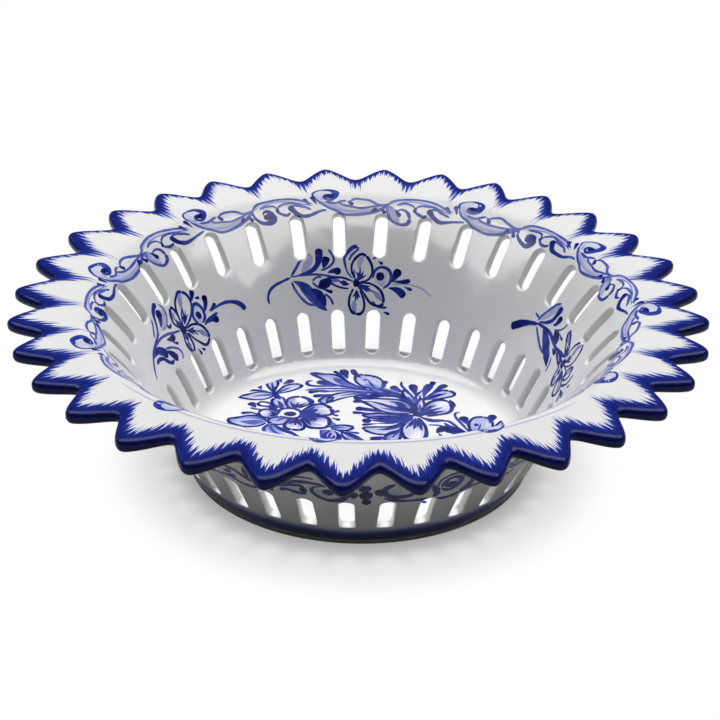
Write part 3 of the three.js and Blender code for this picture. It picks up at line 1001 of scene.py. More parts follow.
def petal_layers(kind, width, tone, points):
    """Strokes of one petal or leaf: both edges from the base to the tip, and what lies between them. An
    open petal has a pale dab and veins at its base, a bloom is shaded from its base, and a leaf has a
    midrib. Places in a petal are a share across it and the steps up it, and veins are a width, a strength
    and their ends."""
    left, right = halves(points)

    def across(share, k):
        """Point a share of the way from the left edge to the right, k steps up from the base."""
        return tuple(left[k] * (1 - share) + right[k] * share)

    def veins(vein_width, strength, ends):
        """Strokes that fan out from the base to their ends."""
        return [(VEIN_ORDER, "leaf", vein_width, strength,
                 [across(0.5, 0), across(0.25 + share / 2, 2), across(share, top)]) for share, top in ends]

    edges = [(EDGE_ORDER, "edge", width, EDGE_STRENGTH, [tuple(p) for p in side]) for side in (left, right)]
    if kind == "petal":
        dab = (DAB_ORDER, "leaf", DAB_WIDTH, tone, [across(*place) for place in DAB_PLACES])
        return [dab, *veins(*PETAL_VEINS), *edges]
    if kind == "bloom":
        return [(0, "fan", 0, FAN_SHARE * tone, points), *veins(*BLOOM_VEINS), *edges]
    rib = (RIB_ORDER, "leaf", RIB_WIDTH, RIB_STRENGTH, [across(*place) for place in RIB_PLACES])
    return [(0, "wash", 0, WASH_SHARE * tone, points), rib, *edges]


# %% Layers of paint
FRINGE = 0.1                       # border of a stroke without pigment, in mm
BASE_LIFT = 0.05                   # height over the glaze, in mm
STROKE_LIFT = 0.0007               # more for each later stroke, so that it lies over the earlier ones
FRINGE_LIFT = 0.02
STEP = 0.7                         # spacing of the rows along a stroke
FEWEST_ROWS = 9
TINY = 1e-9                        # keeps a row that stands still from dividing by zero
ACROSS = np.array([-1.0, -1.0, -0.6, 0.0, 0.6, 1.0, 1.0])
BORDER = np.array([-1.0, 0, 0, 0, 0, 0, 1.0])
FILLED = 1 - np.abs(BORDER)
MIDDLE = 3                         # the middle one of these columns
ROUND_END = 0.55                   # length of a round end in widths of the stroke
ROUND_END_MOST = 0.5               # and the most of the stroke that it takes
TREMBLE = ((0.07, 11, 1), (0.05, 23, 2))   # unsteadiness: size, waves along and shift by the stroke's number
EVEN_PRESSURE = 0.8
LIGHT_TONE = 0.76                  # share of the tone where the brush is light
SIDE_LOSS = 0.1                    # share that is lost at a stroke's sides
FILLS = ("wash", "fan")
WASH_ROWS = 20
WASH_COLUMNS = 17
STREAKS = (0.6, 1.3)               # range of a fill's streaks
FAN_SURE = 0.5                     # share of a petal that its fan covers, more by luck and towards the sides
FAN_LUCK = 0.35
FAN_SIDES = 0.2
FAN_FADE = 1.4
FAN_STREAKS = 0.2                  # pale streaks on the one side of a fan
FAN_STREAK_PART = 0.4
WASH_BODY = 0.8                    # strength of a wash between its ends
BASE_POOL_PART = 0.4               # where pigment has pooled at its base
TIP_POOL = 0.5                     # and at its tip
TIP_POOL_START = 0.699
TIP_POOL_PART = 0.3
WASH_FULL_SIDE = 1.3
WASH_SIDE_LOSS = 0.6


class Brushwork:
    """Strokes on one sheet of the glaze, gathered to one painted skin. The sheet turns its own coordinates
    to places, normals and whether there is glaze at all, unit gives the mm of one step across it, and press
    is how many times wider than drawn the strokes are laid."""

    def __init__(self, sheet, unit, press=1.0):
        self.sheet = sheet
        self.unit = unit
        self.press = press
        self.points = []
        self.normals = []
        self.tones = []
        self.quads = []
        self.count = 0

    def lay(self, grid, tone, lift):
        """Adds one grid of corners, facing out of the glaze."""
        points, normals, solid = self.sheet(grid)
        quads = grid_quads(*tone.shape)
        quads = self.count + quads[solid.ravel()[quads].all(1)]
        row = len(points) // 2
        ahead = points[row, MIDDLE] - points[row - 1, MIDDLE]
        beside = points[row, MIDDLE + 1] - points[row, MIDDLE]
        if np.dot(np.cross(beside, ahead), normals[row, MIDDLE]) < 0:
            quads = quads[:, ::-1]
        self.points.append((points + normals * lift[..., None]).reshape(-1, 3))
        self.normals.append(normals.reshape(-1, 3))
        self.tones.append(tone.ravel())
        self.quads.append(quads)
        self.count += tone.size

    def ribbon(self, kind, width, tone, points, number):
        """Stroke: rows square to the curve, as wide as its swelling, darker along the middle and where the
        brush was pressed. A heavier brush widens a dot by the root of its press only."""
        scale = np.array([self.unit(np.mean([p[1] for p in points])), 1.0])
        path = np.asarray(points, float) * scale
        length = smooth_curve(path, [1.0])[1]
        rows = max(FEWEST_ROWS, int(length / STEP))
        t = 0.5 - 0.5 * np.cos(np.pi * np.arange(rows) / (rows - 1))
        centre = smooth_curve(path, t)[0]
        along = np.gradient(centre, axis=0)
        along /= np.linalg.norm(along, axis=1)[:, None] + TINY
        side = np.column_stack([-along[:, 1], along[:, 0]])
        width = width * (self.press ** 0.5 if kind == "dot" else self.press)
        cap = min(ROUND_END_MOST, ROUND_END * width / length)
        tremble = sum((size * np.sin(count * t + shift * number) for size, count, shift in TREMBLE), start=1)
        half = 0.5 * width * (tremble * swell(kind, t, cap))[:, None]
        offset = half * ACROSS + FRINGE * BORDER
        grid = (centre[:, None] + side[:, None] * offset[..., None]) / scale
        pressed = {"drop": t, "club": t, "tail": 1 - t}.get(kind, np.full(rows, EVEN_PRESSURE))
        strength = tone * (LIGHT_TONE + (1 - LIGHT_TONE) * pressed)
        shade = strength[:, None] * (1 - SIDE_LOSS * ACROSS ** 2) * FILLED
        shade[[0, -1]] = 0
        lift = np.where(shade > 0, BASE_LIFT + STROKE_LIFT * number, FRINGE_LIFT)
        self.lay(grid, shade, lift)

    def wash(self, style, tone, points, number, seed):
        """Pale fill of an outline that starts and ends at its base, streaked along. A fan is strong at the
        base and fades to nothing, and a wash is fuller on one side, with pigment pooled at its base and
        tip."""
        t = np.linspace(0, 1, WASH_ROWS)[:, None]
        c = np.linspace(0, 1, WASH_COLUMNS)
        left, right = (smooth_curve(half, t[:, 0])[0][:, None] for half in halves(points))
        grid = left * (1 - c[:, None]) + right * c[:, None]
        luck = np.random.default_rng(seed)
        streak = luck.uniform(*STREAKS, WASH_COLUMNS)
        if style == "fan":
            reach = FAN_SURE + FAN_LUCK * luck.uniform(0, 1, WASH_COLUMNS) + FAN_SIDES * np.abs(2 * c - 1)
            shade = tone * np.clip(FAN_FADE - FAN_FADE * t / reach, 0.0, 1.0)
            shade = shade + FAN_STREAKS * tone * (c < FAN_STREAK_PART) * streak
        else:
            tip = np.clip((t - TIP_POOL_START) / TIP_POOL_PART, 0, 1)
            along = WASH_BODY + np.clip(1 - t / BASE_POOL_PART, 0, 1) + TIP_POOL * tip
            shade = tone * streak * along * (WASH_FULL_SIDE - WASH_SIDE_LOSS * c)
        shade[:, [0, -1]] = 0
        shade[[0, -1]] = 0
        inner = np.arange(WASH_COLUMNS) % (WASH_COLUMNS - 1) > 0
        lift = np.where(inner, BASE_LIFT + STROKE_LIFT * number, FRINGE_LIFT)
        self.lay(grid, shade, np.broadcast_to(lift, shade.shape))

    def paint(self, strokes, move=None):
        """Lays fills first, then strokes from pale to dark."""
        layers = []
        for kind, width, tone, points in strokes:
            placed = [move(p) for p in points] if move else points
            if kind in ("petal", "bloom", "leafy"):
                layers.extend(petal_layers(kind, width, tone, placed))
            else:
                layers.append((0 if kind in FILLS else tone, kind, width, tone, placed))
        layers.sort(key=lambda layer: layer[0])
        for number, (_, kind, width, tone, points) in enumerate(layers):
            if kind in FILLS:
                self.wash(kind, tone, points, number, number + self.count)
            else:
                self.ribbon(kind, width, tone, points, number)

    def finish(self, name, material):
        """One object of all the strokes, shaded with the normals of the glaze below."""
        mesh = bpy.data.meshes.new(name)
        mesh.from_pydata((np.vstack(self.points) * MM).tolist(), [], np.vstack(self.quads).tolist())
        add_layer(mesh, "tone", np.concatenate(self.tones))
        mesh.shade_smooth()
        mesh.normals_split_custom_set_from_vertices(np.vstack(self.normals).tolist())
        dress(in_scene(name, mesh), material, "cobalt_glaze")
        print(name, len(mesh.polygons), "faces in", len(self.quads), "strokes")


# %% Sheets of glaze
SHEET_STEP = 0.05                  # mm to each side of a place, to measure its normal
SLOT_MARGIN = 0.1                  # paint stops this far from a slot's edge, in mm


def slot_gap(angle, s):
    """Distance in mm to the nearest slot's edge, less than nothing inside the slot: the distance to the
    slot's middle line less half its width, at the angle that the hand-cut drift came from."""
    cut = 2 * angle - drifted(angle, s)
    across = (np.mod(cut / PITCH + 0.5, 1) - 0.5) * PITCH * np.interp(s, RAIL_S, RAIL_IN[:, 0])
    gaps = []
    for middle, length in SLOT_ROWS:
        beyond = np.clip(np.abs(s - middle) - (length - SLOT_WIDTH) / 2, 0, None)
        gaps.append(np.hypot(across, beyond) - SLOT_WIDTH / 2)
    return np.minimum(*gaps)


def lipped(angle, s, outside):
    """Place on the inside or outside of the body that sinks into the wall with the slots' rounded lips."""
    lip = OUTER_LIP if outside else INNER_LIP
    sunk = rounded_over(np.clip(slot_gap(angle, s), 0, None), lip) / WALL_THICKNESS
    return on_body(angle, s, 1 - sunk if outside else sunk)


def body_sheet(outside):
    """Sheet of the body: degrees round the bowl and mm along the rail, with normals from small steps."""

    def sheet(grid):
        """Places, normals and whether there is glaze, for a grid of these coordinates."""
        angle = np.radians(grid[..., 0])
        s = grid[..., 1]
        turn = SHEET_STEP / RIM_RADIUS
        down = lipped(angle, s + SHEET_STEP, outside) - lipped(angle, s - SHEET_STEP, outside)
        around = lipped(angle + turn, s, outside) - lipped(angle - turn, s, outside)
        normal = np.cross(down, around) * (1 if outside else -1)
        normal /= np.linalg.norm(normal, axis=-1, keepdims=True)
        return lipped(angle, s, outside), normal, slot_gap(angle, s) > SLOT_MARGIN

    return sheet


def floor_sheet(grid):
    """Floor: mm right and mm back, as the photograph sees them."""
    turn = np.array([[np.cos(VIEW_TURN), np.sin(VIEW_TURN)], [-np.sin(VIEW_TURN), np.cos(VIEW_TURN)]])
    flat = grid @ turn
    places = np.concatenate([flat, np.full(flat.shape[:-1] + (1,), FLOOR_TOP)], -1)
    upright = np.broadcast_to(np.array([0.0, 0, 1]), places.shape)
    return places, upright, np.ones(places.shape[:-1], bool)


def round_unit(rail):
    """Millimetres of one degree at a distance along a rail."""
    return lambda s: np.radians(1) * float(np.interp(s, RAIL_S, rail[:, 0]))


def flat_unit(_):
    """The floor is measured in millimetres both ways."""
    return 1.0


# %% Brushed cobalt
STROKE_MIRROR = 0.2                # paint on the glaze mirrors less than the bare white
FINE_BREAK = 0.22                  # how much a fine and a broad noise break a stroke's tone
FINE_BREAK_SCALE = 1500.0
BROAD_BREAK = 0.5
BROAD_BREAK_SCALE = 260.0


def stroke_strength(nodes):
    """The stroke's own tone, broken a little by a fine and a broad noise."""
    fine = nodes.wander(FINE_BREAK, FINE_BREAK_SCALE)
    broad = nodes.wander(BROAD_BREAK, BROAD_BREAK_SCALE)
    change = nodes.math("ADD", 1.0, nodes.math("ADD", fine, broad))
    return nodes.math("MULTIPLY", nodes.attribute("tone"), change)


cobalt_brush = glazed("cobalt_brush", STROKE_MIRROR, stroke_strength)
print("made", cobalt_brush.name)

# %% [markdown]
# ## Scroll border
# A running scroll follows the mouth: a curled volute on the flange, a boat-shaped leaf that hangs below it,
# an arch with a smaller volute under it, and a looped leaf that leads to the next curl. It is drawn once,
# with x in degrees to the right of a volute and y in mm along the rail, and stretched between the volutes,
# which the hand spaced unevenly. A stroke is its kind, its width in mm, its strength and the points it runs
# through.

# %% Border strokes
VOLUTES = (                        # degrees round the bowl, and mm further down the rail
    (203.5, 0.6), (169.0, 3.0), (134.0, 1.8), (101.5, 1.4), (66.8, 3.0), (33.0, 0.5), (1.5, -2.0),
    (-30.1, 4.0), (-61.7, 5.2), (-93.3, 5.2), (-124.9, 2.5),
)
SCROLL_SPAN = 32.5
SCROLL = [
    ("wash", 0, 0.15, [(-1.4, 32.6), (-3, 29.5), (-2.6, 26), (0.2, 23.2), (1.7, 25), (1.4, 28.4),
        (-0.2, 31.6)]),
    ("wash", 0, 0.16, [(-2.6, 31.5), (0, 36), (3.5, 40), (6.5, 40.5), (9.5, 39.2), (13, 35), (10, 35.9),
        (6, 36.3), (3, 34.9), (0.4, 34)]),
    ("wash", 0, 0.14, [(13.5, 35), (14.4, 32.2), (18, 29.9), (21, 29.8), (24, 30.7), (28.4, 34), (24, 32.2),
        (20, 31.2), (17, 31.6), (15, 33)]),
    ("leaf", 2.8, 0.74, [(-0.8, 24.0), (0.9, 24.0), (1.6, 27), (1.2, 30), (0.2, 31.4)]),
    ("edge", 1.5, 0.72, [(-2.6, 31.2), (-3.2, 28), (-2.2, 24.8), (-0.2, 22.9), (1.5, 23.8), (2.4, 27),
        (1.9, 30.4), (0.4, 32), (-0.8, 30.6), (-0.4, 28.4)]),
    ("dot", 3.0, 0.94, [(-0.7, 29.2), (1.5, 29.8)]),
    ("line", 1.3, 0.62, [(-0.6, 33.2), (1.5, 34.3), (3, 33), (4.2, 32.4)]),
    ("line", 1.2, 0.6, [(2.2, 33.2), (3.1, 34.9), (5, 36), (7.6, 36.5), (10, 35.8), (12.6, 34.7)]),
    ("edge", 1.7, 0.62, [(-2.8, 30.6), (-1.8, 33.8), (0, 36.4), (1.6, 38.4), (3.6, 40.2), (6, 40.7),
        (9, 39.6), (11.5, 37.3), (13.4, 34.6)]),
    ("leaf", 1.6, 0.3, [(-1, 34), (2, 37.6), (5.6, 39), (9, 38), (11.6, 35.8)]),
    ("drop", 2.8, 0.9, [(4.4, 32.4), (5.6, 35.4)]),
    ("line", 1.3, 0.6, [(4.8, 33.2), (6, 31.7), (7.7, 31.4), (9.4, 32.4), (11, 34), (12.4, 34.5),
        (14.2, 33.2)]),
    ("line", 1.3, 0.58, [(13.5, 35), (14.2, 32.4), (15.6, 30.7), (18, 29.8), (21, 29.6), (24, 30.5),
        (26.5, 32), (28.6, 33.8)]),
    ("line", 0.7, 0.42, [(15.6, 33.2), (17.2, 31.8), (20, 31.1), (23.4, 32), (26.4, 33.6), (28.6, 34.8)]),
    ("line", 1.1, 0.6, [(15.5, 33.6), (17.5, 32.6), (19.2, 33.2), (19.8, 35.2)]),
    ("drop", 2.2, 0.9, [(20.2, 33.8), (19.6, 36.8)]),
    ("line", 1.5, 0.68, [(19.6, 36), (20.6, 37.8), (22, 38.4), (22.9, 37.4)]),
    ("line", 1.3, 0.6, [(20, 34.5), (21, 33), (22.5, 32.3), (24.2, 32.8), (26.5, 35), (28.2, 37)]),
    ("tail", 3.0, 0.86, [(22.9, 34.0), (23.6, 36.4), (24.5, 38.5), (26.2, 39.8), (28.5, 39.3),
        (30.6, 37.9)]),
    ("line", 1.2, 0.64, [(28, 39.3), (30.6, 37.9), (32, 37.6)]),
    ("line", 1.1, 0.6, [(23.2, 34.2), (24.7, 34.1), (26.5, 35.5)]),
    ("drop", 2.6, 0.8, [(28, 34.6), (26.7, 30.8)]),
    ("drop", 2.6, 0.9, [(29.7, 34.2), (28.7, 29.4)]),
    ("drop", 2.6, 0.95, [(9.6, 39.0), (11.1, 36.2)]),
    ("drop", 2.6, 0.95, [(11.9, 36), (13.1, 39.2)]),
]
DARK_CURL = [
    ("club", 3.2, 0.84, [(13.5, 34.2), (13.7, 37.4), (15.0, 40.2), (17, 41.3), (18.4, 39.8), (18.4, 37)]),
    ("tail", 3.0, 0.88, [(18.4, 38.4), (18.0, 36), (16.7, 35.4), (15.8, 37)]),
    ("dot", 3.4, 0.95, [(15.9, 38.2), (18.3, 38.0)]),
]
OPEN_CURL = [
    ("wash", 0, 0.3, [(13.4, 34.4), (13.6, 38.4), (14.7, 42), (16.4, 43.6), (16.6, 40.6), (15.6, 37),
        (14.6, 34.6)]),
    ("club", 2.0, 0.68, [(13.2, 33.6), (13.4, 38), (14.5, 42), (16.6, 44.3), (18.5, 43.2), (19, 40.4)]),
    ("tail", 1.9, 0.68, [(19, 40.4), (18.3, 37.5), (16.9, 36.2), (15.8, 37.4), (16, 39.4)]),
    ("drop", 2.8, 0.92, [(15.2, 36.0), (16.6, 40.4)]),
]
MOUTH_LINE_S = 28.4                # a pale line along the near edge of the mouth
MOUTH_LINE_TURNS = range(-138, -41, 4)
SWAY_SEED = 11
TALL_RANGE = (0.95, 1.08)          # each repeat is stretched along the rail by a factor in this range
SCROLL_MIDDLE_S = 33.5             # about this place
WOBBLE = 0.25                      # mm that the hand strays, in waves along the scroll
WOBBLE_WAVES = 1.7


def scroll_border():
    """The scroll laid between each volute and the next, each with a small sway of its own, and with the
    open and the dark inner curl in turn."""
    border = Brushwork(body_sheet(outside=False), round_unit(RAIL_IN))
    sway = np.random.default_rng(SWAY_SEED)
    following = VOLUTES[1:] + ((VOLUTES[0][0] - 360, VOLUTES[0][1]),)
    for number, ((start, drop), (stop, next_drop)) in enumerate(zip(VOLUTES, following)):
        stretch = (start - stop) / SCROLL_SPAN
        tall = sway.uniform(*TALL_RANGE)
        slope = (next_drop - drop) / SCROLL_SPAN

        def place(point, start=start, stretch=stretch, drop=drop, slope=slope, tall=tall):
            """Angle and distance along the rail of a point of the drawn scroll."""
            x, y = point
            wobble = WOBBLE * np.sin(WOBBLE_WAVES * x + start)
            down = SCROLL_MIDDLE_S + (y - SCROLL_MIDDLE_S) * tall + drop + slope * x + wobble
            return (start - x * stretch, down)

        border.paint(SCROLL + (DARK_CURL if number % 2 == 0 else OPEN_CURL), place)
    border.paint([("line", 1.0, 0.2, [(angle, MOUTH_LINE_S) for angle in MOUTH_LINE_TURNS])])
    border.finish("brushed_scroll_border", cobalt_brush)


scroll_border()

# %% [markdown]
# ## Flower sprays on the wall
# Five sprays stand between the two rows of slots. Each has a curved tail, a cluster of leaves, a
# four-petalled flower and a round bud with drops. The hand drew each afresh, so the three that the
# photograph shows have their own strokes, and the two on the near side repeat the middle one. Points are
# degrees and mm down the rail.

# %% Back spray
BACK_SPRAY = [
    ("line", 1.2, 0.74, [(122.7, 81.5), (122.6, 78), (121.5, 75), (119.5, 73), (117, 71.8), (114.4, 70.6)]),
    ("line", 0.9, 0.64, [(114.4, 70.4), (111, 70.2), (107, 70.4), (104, 71.2), (101, 72.3), (98.5, 72.8),
        (95, 75)]),
    ("line", 1.1, 0.72, [(114.2, 70.2), (112.3, 66.5), (110.8, 63.2), (109.3, 61.6), (107.8, 60.4)]),
    ("leaf", 3.4, 0.26, [(110.8, 69.8), (109.3, 66.5), (107.9, 63), (107.2, 60.6)]),
    ("club", 3.4, 0.86, [(112, 70.2), (108.5, 69), (106.3, 66.5), (105.3, 62.5), (105.2, 58)]),
    ("drop", 4.4, 1.0, [(104.4, 68), (103, 62.2)]),
    ("line", 1.0, 0.68, [(105.2, 68.8), (103.5, 68), (101.7, 66), (101.1, 63.5), (101.8, 60.5),
        (102.6, 58.7)]),
    ("drop", 3.6, 0.96, [(103.2, 70.1), (101.3, 69.2), (99.2, 69.9)]),
    ("leaf", 4.5, 0.7, [(113.8, 72.4), (111.2, 75), (109, 79.5), (107, 84), (104.1, 88.4)]),
    ("line", 1.1, 0.66, [(114.3, 72.6), (113.6, 76.5), (112, 81), (110, 84.2), (108, 85), (106.8, 84.8)]),
    ("leaf", 3.6, 0.88, [(108.4, 77), (106, 80.8), (104.4, 86)]),
    ("line", 0.9, 0.72, [(104.5, 80), (102.8, 82.5), (102, 85.8)]),
    ("leaf", 4.3, 1.0, [(106.4, 76.6), (104.1, 75), (102, 73.6)]),
    ("line", 1.0, 0.64, [(108, 74), (106.5, 76.5), (104.5, 77.4), (102.6, 76)]),
    ("line", 0.9, 0.64, [(108, 73.5), (106.5, 71.8), (105, 72)]),
    ("drop", 1.7, 0.92, [(105.2, 77.6), (102, 79.6)]),
    ("petal", 1.0, 0.5, [(96.8, 74.2), (98.5, 72.8), (101, 72.4), (103.5, 73.2), (101.5, 76), (99, 77.6),
        (97, 78)]),
    ("petal", 1.2, 0.28, [(95, 73.5), (96, 70), (96, 66.5), (95, 63.5), (93.6, 61.6), (92.6, 61.4),
        (91.5, 63), (90.3, 66.5), (90, 69.5), (90.4, 72), (91.5, 74), (93.5, 75)]),
    ("petal", 1.2, 0.36, [(94, 75.5), (91.5, 75.2), (89, 76.5), (87.2, 78.8), (86.2, 82), (86.2, 84.5),
        (87.2, 86), (89.5, 85.5), (91, 83.5), (92.5, 80), (94.2, 77)]),
    ("petal", 1.2, 0.36, [(95.6, 78), (96.8, 82), (97, 86), (96.2, 89), (94.8, 90.2), (93.2, 90),
        (92.2, 87.5), (92.4, 83), (93.6, 79)]),
    ("club", 1.8, 0.76, [(95.7, 73.5), (97.3, 70), (98, 66), (98.1, 63), (97, 60.2), (95.6, 58),
        (94.4, 57.8)]),
    ("line", 1.0, 0.66, [(94.4, 57.8), (94.2, 59), (95.2, 60.5), (96.3, 62.5), (96.8, 64.5)]),
    ("line", 0.6, 0.82, [(94.7, 75), (94.2, 72), (93.6, 69.5)]),
    ("line", 0.6, 0.82, [(94.9, 75), (95.3, 72), (95.4, 68.5)]),
    ("line", 0.6, 0.82, [(94.5, 75.3), (93, 74.6), (91.6, 74.3)]),
    ("line", 0.6, 0.82, [(94.5, 75.7), (92.5, 76.6), (90.8, 77.8)]),
    ("line", 0.6, 0.82, [(94.6, 76), (93, 77.6), (91.2, 79.6)]),
    ("dot", 3.7, 1.0, [(93.8, 75.4), (95.7, 75.2)]),
    ("line", 1.2, 0.72, [(89.6, 83.8), (88.8, 85.6), (87, 86.5), (84.8, 86.6)]),
    ("drop", 1.5, 0.9, [(86, 88.7), (83.8, 89.7)]),
    ("wash", 0, 0.12, [(86.8, 77), (84.9, 75), (84.4, 71.5), (85.2, 68.6), (87.3, 67.5), (89.2, 69),
        (89.8, 72), (89, 75)]),
    ("line", 1.3, 0.72, [(89.9, 73), (89.2, 69), (87.3, 67.3), (85.2, 68.5), (84.4, 71.5), (84.8, 75),
        (86.6, 77.6)]),
    ("dot", 3.9, 0.96, [(86.4, 71.4), (88.9, 72.2)]),
    ("drop", 4.4, 1.0, [(84.4, 74.4), (83.4, 72), (82.2, 67.6)]),
    ("drop", 2.3, 0.96, [(84, 73.8), (81, 73.6), (78.5, 72.6)]),
    ("drop", 4.1, 0.96, [(85, 77), (82, 77.8), (79.6, 80.6)]),
    ("drop", 1.5, 0.9, [(80.2, 75.8), (77.6, 77)]),
    ("drop", 1.7, 0.92, [(90.2, 63.8), (88.8, 62)]),
    ("drop", 1.7, 0.92, [(88.5, 64.6), (87.1, 65.8)]),
    ("line", 0.5, 0.32, [(84, 75.3), (80.5, 74.5), (77, 74.8), (74, 76), (70.8, 78.8)]),
]

# %% Left spray
LEFT_SPRAY = [
    ("line", 1.3, 0.74, [(185, 80.3), (182.5, 77.6), (180, 75.8), (177, 73.8), (174, 72.6), (170.5, 71.3),
        (167.5, 70)]),
    ("club", 2.3, 0.82, [(170.5, 71), (168, 69.5), (166.3, 66), (165.2, 62.5), (163.5, 60), (161.8, 59)]),
    ("line", 1.0, 0.62, [(171, 70), (168.5, 66), (167, 63)]),
    ("drop", 4.4, 1.0, [(165.4, 69), (163.8, 66.5), (162.4, 61.8)]),
    ("line", 0.9, 0.6, [(165, 70.8), (162, 69.5), (160.3, 66.5), (159.9, 63), (160.8, 60)]),
    ("leaf", 2.9, 0.24, [(166, 70), (163, 69), (161.2, 66), (160.6, 62)]),
    ("line", 1.1, 0.66, [(176, 73.2), (172, 72.5), (168, 72.4), (164, 73.5), (161, 75), (158, 76)]),
    ("line", 1.3, 0.86, [(162.3, 69.8), (161.8, 71.8), (160.3, 71)]),
    ("drop", 3.6, 0.98, [(166, 75), (163.5, 76.4), (161.5, 76.2)]),
    ("drop", 1.5, 0.9, [(164, 77.8), (161.6, 80.2)]),
    ("club", 4.8, 0.9, [(178, 74.3), (174, 74.6), (171.2, 77), (169.6, 80.6)]),
    ("line", 1.7, 0.84, [(178.3, 77.6), (175.5, 77.8), (173, 79.3), (171.2, 82.5), (169.5, 84.3),
        (167.6, 84.2)]),
    ("drop", 4.4, 0.98, [(169.6, 77.8), (167.6, 81), (165.4, 85.4)]),
    ("line", 1.0, 0.64, [(169.5, 77.3), (166, 79), (163, 82), (162.3, 85), (163.5, 87.2)]),
    ("petal", 1.3, 0.4, [(157.5, 75.5), (159.2, 71.5), (158.6, 67.5), (157.4, 65), (156.6, 65.3), (156, 68),
        (156, 72), (156.8, 75)]),
    ("petal", 1.3, 0.4, [(156.2, 74.5), (155.8, 69), (154.6, 64.5), (152.8, 62), (151, 60.8), (149, 64),
        (149, 68.5), (151, 73), (154, 76)]),
    ("petal", 1.3, 0.4, [(155.5, 77), (152, 77), (149.3, 79), (148, 82), (147.6, 85), (148.5, 87.5),
        (150.4, 88.6), (152, 86.5), (154, 83), (155.5, 79)]),
    ("petal", 1.3, 0.5, [(157.5, 78), (158.4, 82.5), (158, 86), (157, 87.8), (155.9, 87), (155.4, 83.5),
        (156, 78.5)]),
    ("drop", 1.5, 0.9, [(154.4, 87.6), (153.7, 91.4)]),
    ("drop", 1.5, 0.9, [(153, 88.6), (151.6, 90.4)]),
    ("line", 0.7, 0.84, [(156.4, 76), (154.8, 71.5), (153.2, 68)]),
    ("line", 0.7, 0.84, [(156, 76.6), (153.5, 75.4), (151.6, 74.4)]),
    ("line", 0.7, 0.84, [(156, 77.4), (153.6, 79.5), (151.6, 82.5)]),
    ("dot", 4.6, 1.0, [(155.4, 76.3), (158, 76.7)]),
    ("wash", 0, 0.12, [(150, 78.6), (150.5, 74), (149, 70.2), (147.2, 69.8), (146, 73), (146.4, 77),
        (148, 79)]),
    ("line", 1.5, 0.78, [(149.6, 79), (150.5, 74.4), (149, 70), (147.2, 69.6), (146, 72.6), (146.2, 76.8),
        (148, 79)]),
    ("dot", 3.7, 0.96, [(147.3, 74.2), (149.2, 75.4)]),
    ("drop", 3.1, 0.98, [(146.3, 75.4), (145, 73.5), (143.9, 71), (143.5, 67.4)]),
    ("drop", 3.3, 0.98, [(148.4, 67.6), (146.6, 63)]),
    ("drop", 1.9, 0.92, [(147, 67), (145.2, 67.6)]),
    ("drop", 1.8, 0.92, [(143.9, 75.4), (142.3, 74.5), (140.6, 73)]),
    ("line", 1.2, 0.84, [(147.5, 80.2), (145, 78.5), (141, 77.6)]),
    ("drop", 3.6, 0.96, [(146.2, 79.8), (143.5, 79.3), (141.6, 81.2)]),
    ("club", 2.3, 0.8, [(143.4, 75.8), (140, 74.7), (136.5, 74.6), (133.5, 76.2), (131.8, 78.5),
        (131.3, 80.8)]),
]

